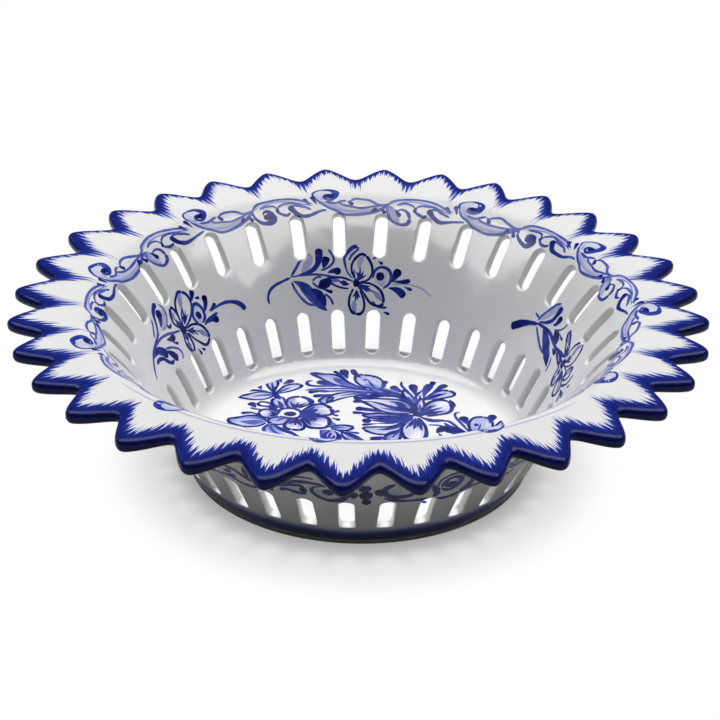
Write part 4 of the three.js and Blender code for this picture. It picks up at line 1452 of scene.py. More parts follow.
# %% Right spray
RIGHT_SPRAY = [
    ("tail", 4.2, 0.96, [(41.4, 79.8), (39, 77), (37, 75.2), (34.5, 73.4), (32, 72.3)]),
    ("line", 1.6, 0.8, [(32.5, 72), (29, 71.7), (25, 72), (22, 73.5), (19, 74.6), (15, 74), (12, 73.6)]),
    ("line", 1.1, 0.66, [(32.8, 71), (32.2, 68), (30.8, 64), (29.3, 60), (27.8, 58)]),
    ("leaf", 3.8, 0.26, [(32.2, 70), (30.6, 66.5), (28.8, 62), (27.4, 58.4)]),
    ("club", 2.8, 0.88, [(32, 71), (29.5, 69.5), (27.5, 67), (26.8, 63), (26.7, 59)]),
    ("line", 0.9, 0.66, [(35, 68.5), (33.8, 69), (32.8, 69.5)]),
    ("drop", 3.6, 0.98, [(26.2, 68), (25, 66.8), (24.5, 62.4)]),
    ("line", 0.9, 0.64, [(24.5, 69.5), (22.5, 68), (21, 65.5), (20.5, 62)]),
    ("leaf", 3.8, 0.96, [(24, 69.4), (21.6, 71), (19.8, 73.4)]),
    ("drop", 1.5, 0.9, [(21, 69), (18.4, 70)]),
    ("line", 1.1, 0.66, [(32, 73.5), (29.5, 76.5), (26.5, 79.5), (24, 80.7), (22.5, 80.8)]),
    ("leaf", 4.5, 0.84, [(29, 72.6), (25.5, 75.5), (22.5, 79), (20, 81.5), (17.8, 84.2)]),
    ("drop", 2.6, 0.94, [(20.6, 76), (17.4, 76.8)]),
    ("line", 0.9, 0.66, [(18.5, 79), (17.2, 82), (16.8, 86)]),
    ("petal", 1.2, 0.42, [(11.5, 72), (13, 69), (15.5, 66), (17.8, 64), (17.5, 66.5), (15.5, 69.5),
        (13, 72.5), (11.5, 73.4)]),
    ("petal", 1.2, 0.42, [(11.5, 76), (14, 75.2), (17.5, 74.6), (16.5, 76.2), (13.5, 78), (11.5, 78.6)]),
    ("petal", 1.3, 0.42, [(11, 73.5), (11.3, 69), (10.8, 65.5), (9.5, 62.8), (8, 61.8), (6.8, 62.5),
        (5.6, 66), (5.4, 69.5), (6.3, 73), (8.5, 75.5)]),
    ("petal", 1.3, 0.42, [(5.6, 76.5), (4.8, 73), (3.5, 71), (2, 73.5), (1.8, 76), (3.5, 78.5),
        (5.6, 77.6)]),
    ("petal", 1.3, 0.5, [(11.3, 78), (11.2, 82), (10, 85.5), (8.5, 86.3), (7.6, 84.5), (7.8, 80.5),
        (8.8, 77.5)]),
    ("petal", 1.3, 0.4, [(8, 77.4), (5, 79.4), (2.5, 80.8), (1.5, 83), (2, 85.8), (4, 87.4), (5.4, 85.6),
        (6.6, 82.4), (8, 79)]),
    ("line", 0.7, 0.86, [(10.2, 75.5), (9.2, 71), (8.3, 67)]),
    ("line", 0.7, 0.86, [(10.2, 75.5), (7.6, 75.4), (5.6, 75.8)]),
    ("line", 0.7, 0.86, [(10, 76.2), (8, 78.6), (6, 81.4)]),
    ("dot", 4.4, 1.0, [(9.2, 75.4), (11.6, 75.8)]),
    ("line", 1.3, 0.84, [(2.5, 80.5), (0.5, 78.5), (-0.8, 76), (-0.6, 71)]),
    ("drop", 1.9, 0.92, [(-2.6, 76.4), (-4, 74.2)]),
    ("drop", 2.8, 0.94, [(1, 81.5), (-1.5, 81), (-4.7, 80.2)]),
    ("drop", 2.3, 0.92, [(-0.8, 81.8), (-3.7, 84.6)]),
]
NEAR_SPRAY_TURNS = (-153.5, -224.5)
SPRAY_PRESS = 1.15


def wall_sprays():
    """The three sprays where they stand, and the middle one turned to the near side twice."""
    sprays = Brushwork(body_sheet(outside=False), round_unit(RAIL_IN), SPRAY_PRESS)
    for strokes in (BACK_SPRAY, LEFT_SPRAY, RIGHT_SPRAY):
        sprays.paint(strokes)
    for turn in NEAR_SPRAY_TURNS:
        sprays.paint(BACK_SPRAY, lambda point, turn=turn: (point[0] + turn, point[1]))
    sprays.finish("brushed_wall_sprays", cobalt_brush)


wall_sprays()

# %% [markdown]
# ## Bouquet on the floor
# The floor holds the largest painting: a round open flower on the left, a lily-like flower on the right,
# and leaves, buds and drops all round them. The near part, which the rim hides in the photograph, is filled
# in the same hand with a third flower. Points are mm to the right and to the back of the floor's middle.

# %% Round flower and its leaves
ROUND_FLOWER = [
    ("leafy", 1.5, 0.34, [(-35, 28.5), (-39, 31.5), (-40.4, 35.3), (-38.6, 39), (-35.6, 39), (-34.2, 35.3),
        (-33.6, 31)]),
    ("bloom", 1.5, 0.5, [(-38, 28), (-42, 30), (-46.2, 31.4), (-46, 34.4), (-42.4, 34.2), (-39.4, 31.6),
        (-37.4, 28.6)]),
    ("bloom", 1.6, 0.56, [(-36, 24.4), (-39, 27), (-43.5, 27.6), (-45.8, 24.7), (-44.5, 21), (-40, 19.4),
        (-37, 21.5)]),
    ("leafy", 1.5, 0.44, [(-34, 21), (-39, 20), (-41.4, 17), (-39, 13.8), (-35, 13.8), (-32.3, 16),
        (-32, 19.5)]),
    ("bloom", 1.8, 0.6, [(-30, 20.6), (-33.4, 14.5), (-33, 10.6), (-29, 9), (-25.4, 9.4), (-24.4, 13.5),
        (-26, 18)]),
    ("bloom", 2.0, 0.72, [(-26.4, 21.4), (-20, 21.6), (-14.6, 20.8), (-13.2, 16.5), (-14.5, 12),
        (-18, 10.8), (-22.5, 11.5), (-24.5, 15), (-26.8, 19.4)]),
    ("bloom", 2.0, 0.72, [(-26.6, 25.4), (-23, 30.6), (-18.5, 33.4), (-14.5, 31.6), (-12.4, 27.5),
        (-12.4, 24), (-17, 22.6), (-22, 22.4), (-26, 23)]),
    ("bloom", 1.8, 0.5, [(-31, 28), (-33.3, 32), (-33, 37.5), (-30, 39.8), (-26, 39.8), (-22.8, 37.5),
        (-22.2, 34), (-25, 31.5), (-28, 29)]),
    ("leaf", 2.6, 0.86, [(-27.6, 39.8), (-23.4, 38), (-22, 34), (-25, 31.6)]),
    ("leaf", 4.6, 0.36, [(-32.4, 30), (-32.4, 35), (-29.6, 38.6)]),
    ("leaf", 3.4, 0.86, [(-27, 24.4), (-22.6, 26), (-18.6, 28.6)]),
    ("leaf", 3.4, 0.84, [(-27, 22.6), (-22, 20.6), (-19, 17.6)]),
    ("leaf", 2.2, 0.86, [(-26.4, 23.6), (-20, 23), (-14.6, 22.4)]),
    ("leaf", 2.0, 0.84, [(-35.6, 27), (-36, 32), (-37.4, 36)]),
    ("leaf", 2.0, 0.84, [(-36.4, 26.4), (-40, 29), (-43, 31)]),
    ("leaf", 1.1, 0.84, [(-31.6, 20), (-31, 16), (-30.6, 13.6)]),
    ("leaf", 1.1, 0.84, [(-29.8, 20), (-29, 16), (-28.4, 13)]),
    ("leaf", 1.1, 0.84, [(-28.4, 20), (-27, 17), (-26.4, 14)]),
    ("line", 1.8, 0.84, [(-37, 23), (-36.4, 27), (-33, 29), (-29, 28.2), (-26.4, 25.4), (-26.4, 22),
        (-28.6, 19.8), (-32.6, 19.8), (-36, 21.6)]),
    ("dot", 4.2, 0.97, [(-34.4, 23.6), (-28.4, 23.6)]),
    ("drop", 2.4, 0.9, [(-12.6, 25), (-8.8, 27.4)]),
    ("drop", 2.2, 0.9, [(-12.6, 24), (-9.4, 22.4)]),
    ("drop", 2.2, 0.9, [(-12.6, 20.6), (-8.4, 18.4)]),
]
LEFT_LEAVES = [
    ("leafy", 1.5, 0.34, [(-39, 42.2), (-43, 44), (-48, 43.7), (-52.3, 41.4), (-56.2, 39.4), (-52.3, 37.4),
        (-47, 36.7), (-42.3, 38), (-39.5, 41)]),
    ("club", 2.4, 0.84, [(-40, 43.4), (-46, 45.6), (-52, 45.6)]),
    ("drop", 4.4, 0.92, [(-45.8, 46.6), (-48.5, 54)]),
    ("leafy", 1.5, 0.4, [(-40, 44), (-43, 50), (-43.6, 55), (-42.6, 59.8), (-39.6, 57), (-38.2, 53),
        (-39, 48), (-39.6, 45)]),
    ("drop", 2.2, 0.86, [(-40.2, 45), (-40, 49.6)]),
    ("drop", 2.9, 0.9, [(-36.6, 53.4), (-38.4, 60)]),
    ("drop", 4.4, 0.92, [(-36, 52), (-31.2, 56.6)]),
    ("leafy", 1.5, 0.38, [(-38.8, 43.6), (-36.5, 48), (-34.5, 51), (-30.7, 52.6), (-27.4, 52),
        (-27.5, 49.6), (-30.3, 46.8), (-34, 44.6), (-38, 43)]),
    ("leaf", 3.0, 0.86, [(-36.4, 37), (-38.6, 41), (-40, 46)]),
    ("drop", 4.8, 0.92, [(-47.4, 29), (-50.4, 34)]),
    ("line", 1.3, 0.8, [(-50, 29), (-48, 27.8), (-45, 27.6)]),
    ("leafy", 1.6, 0.42, [(-41.5, 17), (-45, 21), (-50, 21.6), (-55.5, 19.5), (-59.8, 17.5), (-55.5, 12.5),
        (-50, 11.2), (-45, 12.2), (-42, 15)]),
    ("leaf", 3.4, 0.56, [(-42.6, 16), (-48, 15), (-54, 16)]),
    ("club", 2.4, 0.86, [(-45, 21.6), (-49, 24.2), (-54, 23.6)]),
    ("drop", 4.0, 0.93, [(-52.6, 11.8), (-60, 13.8)]),
    ("wash", 0, 0.34, [(-40.5, 14.5), (-42.6, 10), (-41.8, 5), (-37, 1.6), (-31, 1), (-34, 7),
        (-38.6, 13)]),
    ("leaf", 1.8, 0.76, [(-40.5, 15), (-42.8, 10), (-41.6, 5), (-36.6, 1.4)]),
    ("leaf", 1.6, 0.7, [(-40, 14), (-38.6, 8), (-34, 3), (-30.6, 0.8)]),
    ("leaf", 2.4, 0.84, [(-39.6, 15), (-34.5, 9), (-29.6, 5.6), (-25.6, 0.8)]),
    ("drop", 3.8, 0.9, [(-30, 5.6), (-25.4, -0.4)]),
    ("drop", 2.4, 0.86, [(-54.6, 8.6), (-51, 8.6), (-47.2, 5.6)]),
]

# %% Upper leaves and stems
TOP_LEAVES = [
    ("leafy", 1.7, 0.42, [(4, 48.4), (-3.4, 53.4), (-8, 59), (-11.6, 62.4), (-16, 63), (-23.4, 64),
        (-19, 59.4), (-15, 55.4), (-11, 52.2), (-5, 50.2), (3, 48)]),
    ("leaf", 4.6, 0.62, [(0, 50), (-7, 54.4), (-12.6, 59.6)]),
    ("tail", 2.6, 0.86, [(-23.6, 64), (-19, 62.8), (-14, 62.8)]),
    ("drop", 2.4, 0.86, [(-6, 57.6), (-9, 62), (-12.2, 66.4)]),
    ("drop", 5.0, 0.93, [(-5.6, 58.6), (-8, 68.2)]),
    ("leaf", 2.8, 0.9, [(-3.6, 70.2), (-2.2, 64), (0.6, 59.6)]),
    ("leafy", 1.6, 0.4, [(6.4, 48.6), (0.5, 52.4), (-2, 57.5), (-1, 62.5), (4, 62.4), (9, 60), (11.6, 55),
        (11.6, 51), (9, 48.6)]),
    ("dot", 2.0, 0.7, [(1.6, 57.6), (3.8, 58.2)]),
    ("leaf", 5.0, 0.4, [(2, 53.6), (7, 50.6), (12, 47)]),
    ("drop", 3.2, 0.9, [(10.4, 49), (12.4, 57.4)]),
    ("drop", 5.0, 0.94, [(-12, 51.4), (-20, 55.6)]),
    ("line", 1.7, 0.76, [(-22, 56.6), (-24.6, 54.8), (-24, 52), (-20.7, 50.9), (-14, 51.2), (-8, 52)]),
    ("wash", 0, 0.26, [(10, 45), (2, 48.6), (-7, 49.4), (-16, 48.8), (-25, 46.6), (-14, 45.4), (-4, 44.6),
        (8, 43.6)]),
    ("line", 1.5, 0.7, [(-25.4, 46.6), (-18.5, 48.4), (-7, 48.8), (2, 48), (9, 46)]),
    ("line", 1.3, 0.7, [(-18, 44.8), (-8, 46.6), (2, 46), (8, 44.8)]),
    ("drop", 3.2, 0.88, [(-13, 46.4), (-19, 46), (-23.8, 44.4)]),
    ("drop", 3.6, 0.92, [(-12.6, 43), (-21.6, 40.8)]),
    ("leafy", 1.4, 0.34, [(4, 43.8), (-2, 45.6), (-8, 44.6), (-13, 41.8), (-14.6, 35), (-10, 38),
        (-4, 41.2), (3, 42.8)]),
    ("leafy", 1.7, 0.52, [(-12.2, 42.6), (-17, 39.5), (-18.4, 36), (-16, 34), (-13, 37), (-11.8, 40.5)]),
    ("leaf", 3.4, 0.9, [(-2, 42.6), (6, 42), (14, 43), (21.4, 40)]),
    ("leaf", 6.4, 0.48, [(3, 51.6), (9, 48), (15, 45), (21, 39.6)]),
    ("leaf", 3.6, 0.86, [(8, 49.6), (14, 46), (20, 41.4), (24.4, 34), (26, 28)]),
    ("leaf", 3.0, 0.84, [(2, 45), (10, 44.4), (17, 42.6), (23, 37)]),
]

# %% Lily and its leaves
LILY = [
    ("bloom", 1.8, 0.5, [(26, 27.6), (23.6, 34), (19, 38.4), (11.5, 39.4), (4, 39.6), (-2.6, 40.4), (2, 36),
        (6, 32), (10.5, 27.6), (16, 25.6), (24, 25.6)]),
    ("wash", 0, 0.26, [(20, 28), (14, 32), (7, 35), (2, 37.6), (6, 32.4), (11, 28), (16, 26.4)]),
    ("leaf", 2.2, 0.84, [(4, 37.4), (10, 34.6), (15, 31.6), (21, 30.6), (25, 27)]),
    ("leaf", 1.8, 0.84, [(14, 36.6), (19, 35.4), (22, 31.6)]),
    ("drop", 3.2, 0.92, [(6, 38.4), (-2.8, 40.4)]),
    ("drop", 3.0, 0.92, [(5, 36.6), (-3, 36.4)]),
    ("drop", 4.0, 0.9, [(14, 26), (6, 28.4), (-1.6, 30)]),
    ("drop", 3.0, 0.92, [(6, 25), (-3, 26)]),
    ("leafy", 1.7, 0.56, [(26, 24), (16, 24.6), (8, 25.4), (1.4, 23.6), (8, 20.4), (16, 20.8), (25, 22.6)]),
    ("leaf", 2.6, 0.86, [(25.6, 23.4), (16, 22.2), (5, 22.4)]),
    ("dot", 4.2, 0.93, [(1.4, 18.4), (5.8, 18.4)]),
    ("leaf", 2.4, 0.84, [(25.4, 22.6), (17, 19), (9, 18.4), (4, 19.4)]),
    ("leaf", 1.8, 0.74, [(24.6, 21.8), (16, 17), (8, 16)]),
    ("drop", 2.4, 0.86, [(9, 16), (1.4, 14.4)]),
    ("leafy", 1.5, 0.34, [(22.6, 19.4), (17, 15), (12.7, 13), (6, 12.6), (1.8, 11.5), (5.5, 7.5), (10.5, 6),
        (16, 7.4), (18.6, 11), (21.4, 16)]),
    ("leaf", 2.0, 0.8, [(22, 18.6), (15, 12), (8, 10)]),
    ("drop", 5.0, 0.94, [(13, 4), (5.2, 1)]),
    ("leafy", 1.7, 0.52, [(19.4, 11), (13.5, 7), (11.8, 2), (14, -2.6), (17.6, 0), (19, 5), (19.2, 9)]),
    ("drop", 3.6, 0.92, [(14, 2), (12, -3)]),
    ("drop", 1.9, 0.86, [(24.6, 0.6), (19.4, -2.2)]),
    ("drop", 1.9, 0.86, [(21, 1), (24.4, -1.6)]),
    ("bloom", 2.0, 0.5, [(24.8, 22), (20.4, 16), (19.4, 10), (20.2, 4.5), (23, 1.3), (26, 0.4), (29.2, 2.4),
        (30.5, 7), (30.3, 13.5), (28.7, 18.5), (27, 22)]),
    ("leaf", 4.0, 0.2, [(23.6, 17), (21.8, 10), (22.6, 4.6)]),
    ("leaf", 1.5, 0.84, [(26, 22), (25.6, 17), (25.6, 12)]),
    ("leaf", 1.6, 0.84, [(26.6, 22), (28, 16), (28.4, 10)]),
    ("bloom", 2.0, 0.6, [(28.4, 24.6), (29.6, 31), (33, 37), (38, 39.2), (42.4, 36.5), (42.8, 31), (41, 27),
        (36, 24.8), (31, 23.4)]),
    ("leaf", 2.8, 0.88, [(42, 39.6), (43.2, 35), (42.6, 30)]),
    ("leaf", 1.5, 0.86, [(29, 26), (32, 31), (36, 34.6)]),
    ("leaf", 1.5, 0.86, [(29, 25.4), (33.6, 29), (38.4, 32)]),
    ("leaf", 1.5, 0.86, [(29, 25), (34, 27), (38.6, 28.6)]),
    ("leaf", 3.4, 0.9, [(28, 25), (32, 26.6), (36, 26)]),
    ("leafy", 1.4, 0.34, [(27.6, 25.6), (26.2, 31), (27, 36), (29, 40.4), (30.2, 35), (29.6, 29.6)]),
    ("leafy", 1.5, 0.28, [(26.2, 32), (22.5, 38.5), (20.4, 44), (20.6, 48.8), (23.6, 44.5), (26, 39),
        (27.2, 34)]),
    ("leafy", 1.4, 0.34, [(27.4, 36), (26.4, 42), (29.6, 48), (30.4, 42), (29.4, 38)]),
    ("drop", 4.2, 0.92, [(21, 45), (15, 52)]),
    ("line", 1.3, 0.76, [(20, 57), (19.8, 53), (22, 48), (24.6, 42), (26.6, 36)]),
    ("drop", 4.8, 0.93, [(26.4, 42.6), (25, 54.2)]),
    ("drop", 5.0, 0.88, [(30, 41), (31, 47), (33.4, 54.6)]),
    ("drop", 3.0, 0.9, [(33, 48.6), (35, 57.4)]),
    ("drop", 3.8, 0.9, [(33.6, 44), (37, 49.5), (41, 54.4)]),
    ("leafy", 1.7, 0.36, [(30, 38), (32.5, 43), (36, 47), (40.5, 48.6), (44.2, 46.5), (44, 43.4),
        (39.5, 41), (34, 39.2)]),
    ("leaf", 2.2, 0.84, [(30.6, 38.4), (35, 43), (41, 45.6)]),
    ("dot", 4.6, 0.95, [(24.4, 25.4), (30, 25)]),
    ("leaf", 3.6, 0.93, [(26, 24), (25.4, 30), (26, 36)]),
    ("leaf", 3.2, 0.92, [(27, 25), (22.6, 29), (18.6, 30.8)]),
]

# %% Right buds and lower leaves
RIGHT_BUDS = [
    ("leaf", 2.6, 0.84, [(27, 23.4), (33, 19.6), (38, 19.6), (42, 18.6)]),
    ("line", 1.6, 0.78, [(38, 19.7), (41.5, 18.5), (45, 13), (49.6, 6.4)]),
    ("drop", 3.4, 0.9, [(38.6, 18), (42.6, 12)]),
    ("line", 1.2, 0.74, [(31.6, 15.4), (36, 15.2), (41, 13)]),
    ("leaf", 6.0, 0.93, [(35, 8), (38.5, 12), (43, 10.5), (50.6, 5.6)]),
    ("line", 1.4, 0.72, [(36, 8), (38, 4.5), (43, 2.8), (49, 5.4)]),
    ("line", 1.3, 0.74, [(46.6, 28), (44.3, 26.6), (44.3, 23), (47, 16.5), (50.6, 8)]),
    ("drop", 5.0, 0.93, [(49.4, 16), (47.4, 24)]),
    ("line", 1.0, 0.66, [(48.4, 20), (50, 14), (51.6, 8)]),
    ("leafy", 1.5, 0.38, [(52, 6.2), (50.2, 12), (50.5, 19), (53.5, 23.2), (58, 23.2), (60.6, 19.5),
        (60.6, 14), (58, 9), (54, 5.8)]),
    ("dot", 2.6, 0.88, [(52.2, 16), (54.6, 16.2)]),
    ("dot", 1.6, 0.8, [(55, 11), (56.4, 11)]),
    ("dot", 1.6, 0.8, [(57.4, 9.4), (58.8, 9.4)]),
    ("leafy", 1.5, 0.32, [(60.5, 10), (62.5, 16), (65.5, 20.5), (69.4, 24), (69.6, 18), (67, 13),
        (63, 9.8)]),
    ("drop", 4.8, 0.93, [(59.6, 17.6), (61.6, 26)]),
    ("drop", 3.4, 0.86, [(64.6, 16.6), (69.2, 23.8)]),
    ("wash", 0, 0.34, [(-15, 10), (-17.6, 8), (-16.6, 3), (-15.4, -2), (-11, -3), (-8.4, 1), (-9, 6),
        (-12, 9.6)]),
    ("leaf", 2.8, 0.86, [(-13, 9.4), (-15.4, 4), (-13.6, -1), (-9.8, -0.4), (-8.8, 4), (-10.8, 9)]),
    ("line", 1.4, 0.72, [(-17, 9.6), (-16.6, 4), (-15.4, -2), (-11, -3)]),
    ("line", 1.2, 0.86, [(-12.4, 6.4), (-13.4, 2.6), (-11, 2.2), (-11.2, 4.6)]),
    ("leafy", 1.6, 0.52, [(-13.4, 12), (-9, 13.9), (-5, 13.6), (-2.4, 12.4), (-4.4, 9.4), (-9, 9.2),
        (-12.6, 10.6)]),
    ("leaf", 3.0, 0.5, [(-13, 18), (-12, 14.6), (-10, 11.6)]),
    ("drop", 1.9, 0.86, [(-6, 8.4), (0.4, 6.6)]),
    ("leaf", 2.6, 0.84, [(-10, 9), (-4, 5.6), (1, 1), (4.8, -3.4)]),
    ("leaf", 1.8, 0.8, [(-8, 8), (-6.6, 3), (-3, -1), (1.6, -3.4)]),
    ("leaf", 2.6, 0.4, [(-6, 5), (-2, 1.6), (2.6, -2.4)]),
    ("leafy", 1.2, 0.34, [(-10.5, -4), (-6, -3.2), (0, -4.6), (-1, -6), (-6, -7), (-9.6, -5.4)]),
    ("drop", 2.4, 0.86, [(5, -5), (1, -6.4)]),
]
NEAR_FLOWER_STEP = (30.0, -56.0)
NEAR_LEAVES = [
    ("line", 1.2, 0.74, [(-25, -3), (-20, -12), (-12, -20), (-5, -24)]),
    ("line", 1.2, 0.74, [(-24, -10), (-19, -16), (-12, -20), (-5, -25)]),
    ("line", 1.2, 0.74, [(25, -29), (20, -29.5), (15, -32), (10, -34)]),
    ("line", 1.2, 0.74, [(20, -14), (16, -19), (10, -24), (7, -28)]),
    ("line", 1.0, 0.7, [(-28, -26), (-22, -27), (-16, -30), (-10, -33)]),
    ("leafy", 1.2, 0.4, [(-24, -10), (-34, -9), (-44, -14), (-50, -22), (-40, -22), (-31, -18),
        (-25, -12)]),
    ("leafy", 1.2, 0.4, [(24, -28), (33, -22), (44, -22), (52, -27), (44, -33), (33, -34), (25, -30)]),
    ("leaf", 3.6, 0.88, [(20, -36), (28, -40), (35, -41)]),
    ("leaf", 3.4, 0.88, [(-16, -40), (-26, -42), (-35, -38)]),
    ("drop", 3.8, 0.87, [(-28, -26), (-37, -30)]),
    ("drop", 3.8, 0.87, [(30, -14), (39, -10)]),
    ("dot", 1.8, 0.88, [(27, -51), (29.4, -51.2)]),
    ("dot", 1.4, 0.4, [(-8.4, -52.8), (-6.8, -53)]),
    ("leaf", 3.2, 0.74, [(20, -14), (28, -8), (40, -4)]),
    ("drop", 2.4, 0.87, [(-40, -4), (-49, -4)]),
    ("drop", 3.4, 0.88, [(2, -48), (3, -60)]),
]
BOUQUET_PRESS = 1.1


def floor_bouquet():
    """All the groups of the bouquet, with the round flower repeated near the front."""
    bouquet = Brushwork(floor_sheet, flat_unit, BOUQUET_PRESS)
    for strokes in (LEFT_LEAVES, TOP_LEAVES, ROUND_FLOWER, LILY, RIGHT_BUDS, NEAR_LEAVES):
        bouquet.paint(strokes)
    right, back = NEAR_FLOWER_STEP
    bouquet.paint(ROUND_FLOWER, lambda point: (point[0] + right, point[1] + back))
    bouquet.finish("brushed_floor_bouquet", cobalt_brush)


floor_bouquet()

# %% [markdown]
# ## Outside of the wall
# A looser scroll with a rosette of dots runs round the outside between the two rows of slots, and a broad
# dark band closes the wall above the foot. The scroll is drawn once, from the rosette in the middle of the
# front, and turned round the bowl.

# %% Outside scroll
ROSETTE_ANGLE = -84.5
OUTSIDE_REPEATS = 5
OUTSIDE_SCROLL = [
    ("dot", 5.3, 0.97, [(-1.9, 80.8), (1.7, 81.2)]),
    ("dot", 4.6, 0.94, [(-2.0, 75.2), (1.2, 75.8)]),
    ("dot", 4.1, 0.94, [(-4.4, 80.8), (-2.0, 81.2)]),
    ("dot", 4.6, 0.94, [(2.0, 79.4), (4.6, 78.4)]),
    ("dot", 3.8, 0.94, [(-1.2, 86.4), (1.4, 86.2)]),
    ("wash", 0, 0.1, [(4, 80), (4.6, 76), (6.5, 72.8), (10.5, 74), (12.6, 78), (11, 82.6), (7.4, 83.2)]),
    ("line", 1.9, 0.84, [(6.8, 72.2), (4.6, 76), (4.8, 80.4), (7.4, 83.2), (11, 82.8), (12.6, 79.4)]),
    ("drop", 3.4, 0.97, [(12.4, 76.2), (12.4, 81.6)]),
    ("line", 1.3, 0.78, [(4.4, 83.4), (7.6, 86), (11.6, 87.2), (17, 87.6)]),
    ("line", 1.9, 0.84, [(13.6, 76.6), (16, 77.4), (17.6, 80), (18.4, 84), (18, 87)]),
    ("wash", 0, 0.12, [(18.4, 78), (18.2, 73.4), (21.4, 70), (25.3, 71.8), (27.2, 77), (26.8, 83), (23, 82),
        (20, 80)]),
    ("club", 2.4, 0.86, [(18.0, 79.6), (18.2, 73.4), (21.4, 69.6), (25.5, 71.6), (27.5, 77), (27.2, 83),
        (25.4, 87)]),
    ("line", 1.4, 0.80, [(25.4, 87), (22.4, 89), (19.4, 88.8), (17.4, 87.6)]),
    ("dot", 4.1, 0.97, [(19.9, 77.8), (23.2, 79.4)]),
    ("line", 1.6, 0.82, [(19.2, 80), (20, 74.4), (21.8, 72.6), (23.8, 75), (23.6, 80.6), (21.4, 83),
        (19.2, 80.6)]),
    ("line", 1.1, 0.76, [(26, 87), (29, 84.6), (32.6, 84.4)]),
    ("wash", 0, 0.12, [(-13.5, 79), (-12.5, 83), (-9.5, 86), (-6, 84.4), (-5.2, 80.6), (-7, 77),
        (-10, 76.6)]),
    ("club", 2.2, 0.86, [(-10.2, 74.6), (-12.6, 76), (-13.6, 79.2), (-12.5, 83), (-9.5, 86), (-6, 84.5),
        (-5, 80.6)]),
    ("dot", 3.8, 0.97, [(-11, 78.8), (-8, 80.2)]),
    ("line", 1.6, 0.82, [(-23.6, 80), (-21.5, 76.5), (-18.5, 74), (-15, 72.9), (-12, 73.4), (-10, 75.4)]),
    ("line", 1.0, 0.68, [(-19, 70.2), (-15.6, 69), (-12.4, 69.4)]),
    ("line", 1.4, 0.82, [(-22.6, 80), (-19.6, 77.4), (-16.6, 76.4), (-15.4, 78)]),
    ("drop", 3.1, 0.97, [(-15.6, 76.4), (-15.8, 81.6)]),
    ("line", 1.6, 0.84, [(-22.2, 83), (-20.6, 81.2), (-18.6, 82), (-16.6, 82.8), (-15, 81.6)]),
    ("drop", 2.5, 0.97, [(-24.6, 81.8), (-25.2, 85.2)]),
    ("leaf", 2.8, 0.88, [(-31, 80), (-30, 73), (-28.8, 68.6)]),
    ("line", 1.8, 0.84, [(-37, 75.6), (-34.2, 76.4), (-32.4, 79), (-30, 81.5), (-27.2, 81), (-25.6, 78)]),
    ("line", 1.4, 0.82, [(-38.6, 80), (-36.6, 79.6), (-36, 77), (-37.4, 75.4)]),
    ("drop", 2.2, 0.97, [(-37.6, 82.4), (-34.8, 82)]),
    ("line", 1.3, 0.78, [(-39.6, 83), (-36.4, 84), (-34, 86), (-30.4, 86.4), (-28.4, 84.8)]),
]
OUTSIDE_PRESS = 1.6


def outside_scroll():
    """The scroll turned to each of its places round the wall."""
    border = Brushwork(body_sheet(outside=True), round_unit(RAIL_OUT), OUTSIDE_PRESS)
    for number in range(OUTSIDE_REPEATS):
        middle = ROSETTE_ANGLE + 360 / OUTSIDE_REPEATS * number
        border.paint(OUTSIDE_SCROLL, lambda point, middle=middle: (middle + point[0], point[1]))
    border.finish("brushed_outside_scroll", cobalt_brush)


outside_scroll()

# %% Band above the foot
BAND_TOP_Z = 11.2
BAND_HEEL_STEPS = 24
BAND_WAVES = ((3, 0.35), (11, 0.2))    # waves round the band's edges, and their height in mm
BAND_TONES = (                     # height in mm, and the strength there
    (10.8, 0.0), (9.6, 0.16), (8.4, 0.42), (7.2, 0.7), (6.0, 0.85), (4.4, 0.87), (3.5, 0.8), (3.1, 0.45),
    (2.6, 0.3),
)


def heel_band():
    """Ring over the wall's foot and the heel: its strength is read off by height, with a slow wave round
    it."""
    wall_foot = RAIL_OUT[RAIL_IN[:, 1] > WALL_FOOT_Z]
    heel = heel_curve(wall_foot[-1], BAND_HEEL_STEPS)[1:-1]
    section = np.vstack([wall_foot[wall_foot[:, 1] < BAND_TOP_Z], heel])
    run = np.gradient(section, axis=0)
    run /= np.linalg.norm(run, axis=1)[:, None]
    square = np.column_stack([-run[:, 1], run[:, 0]])
    section = section + BASE_LIFT * square
    angle = ring_angles(ROUND_STEPS)
    height = sum((size * np.sin(count * angle) for count, size in BAND_WAVES), start=section[:, 1][:, None])
    levels, tones = np.array(BAND_TONES[::-1]).T
    tone = np.interp(height, levels, tones)
    tone[0] = 0
    points = carried(section).reshape(-1, 3)
    normals = carried(square).reshape(-1, 3)
    quads = grid_quads(len(section), ROUND_STEPS, closed_columns=True)
    first = points[quads[0]]
    if np.dot(np.cross(first[1] - first[0], first[3] - first[0]), normals[quads[0, 0]]) < 0:
        quads = quads[:, ::-1]
    band = Brushwork(None, None)
    band.points = [points]
    band.normals = [normals]
    band.tones = [tone.ravel()]
    band.quads = [quads]
    band.finish("brushed_heel_band", cobalt_brush)


heel_band()

# %% [markdown]
# ## Ground and light
# The bowl stands on a white table under a wide soft lamp, overhead and a little behind, so that the flange
# and the floor are bright and the upright walls are in half shade. The glaze doesn't mirror that lamp. A
# broad panel over the near side shows only as a reflection in the glaze. The table glows white to the
# camera and more weakly in reflections, less and less towards the foot, where the bowl's own shadow darkens
# it. To the bowl's sides it gives back only a part of the light, as a dim room does.

# %% Ground
GROUND_SIZE = 30.0                 # in metres
TABLE_WHITE = 0.95                 # the table's own colour to the camera
GROUND_BOUNCE = 0.50               # what the table gives back to the bowl's sides
MIRROR_SHARE = 0.35                # how much of its glow the glaze mirrors
# The glow is painted light: it whitens the table beyond the foot and hides the bowl's shadow there.
GLOW_START = 0.045                 # the table's glow grows from this radius, in metres
GLOW_WHOLE = 0.120                 # and is whole from this one


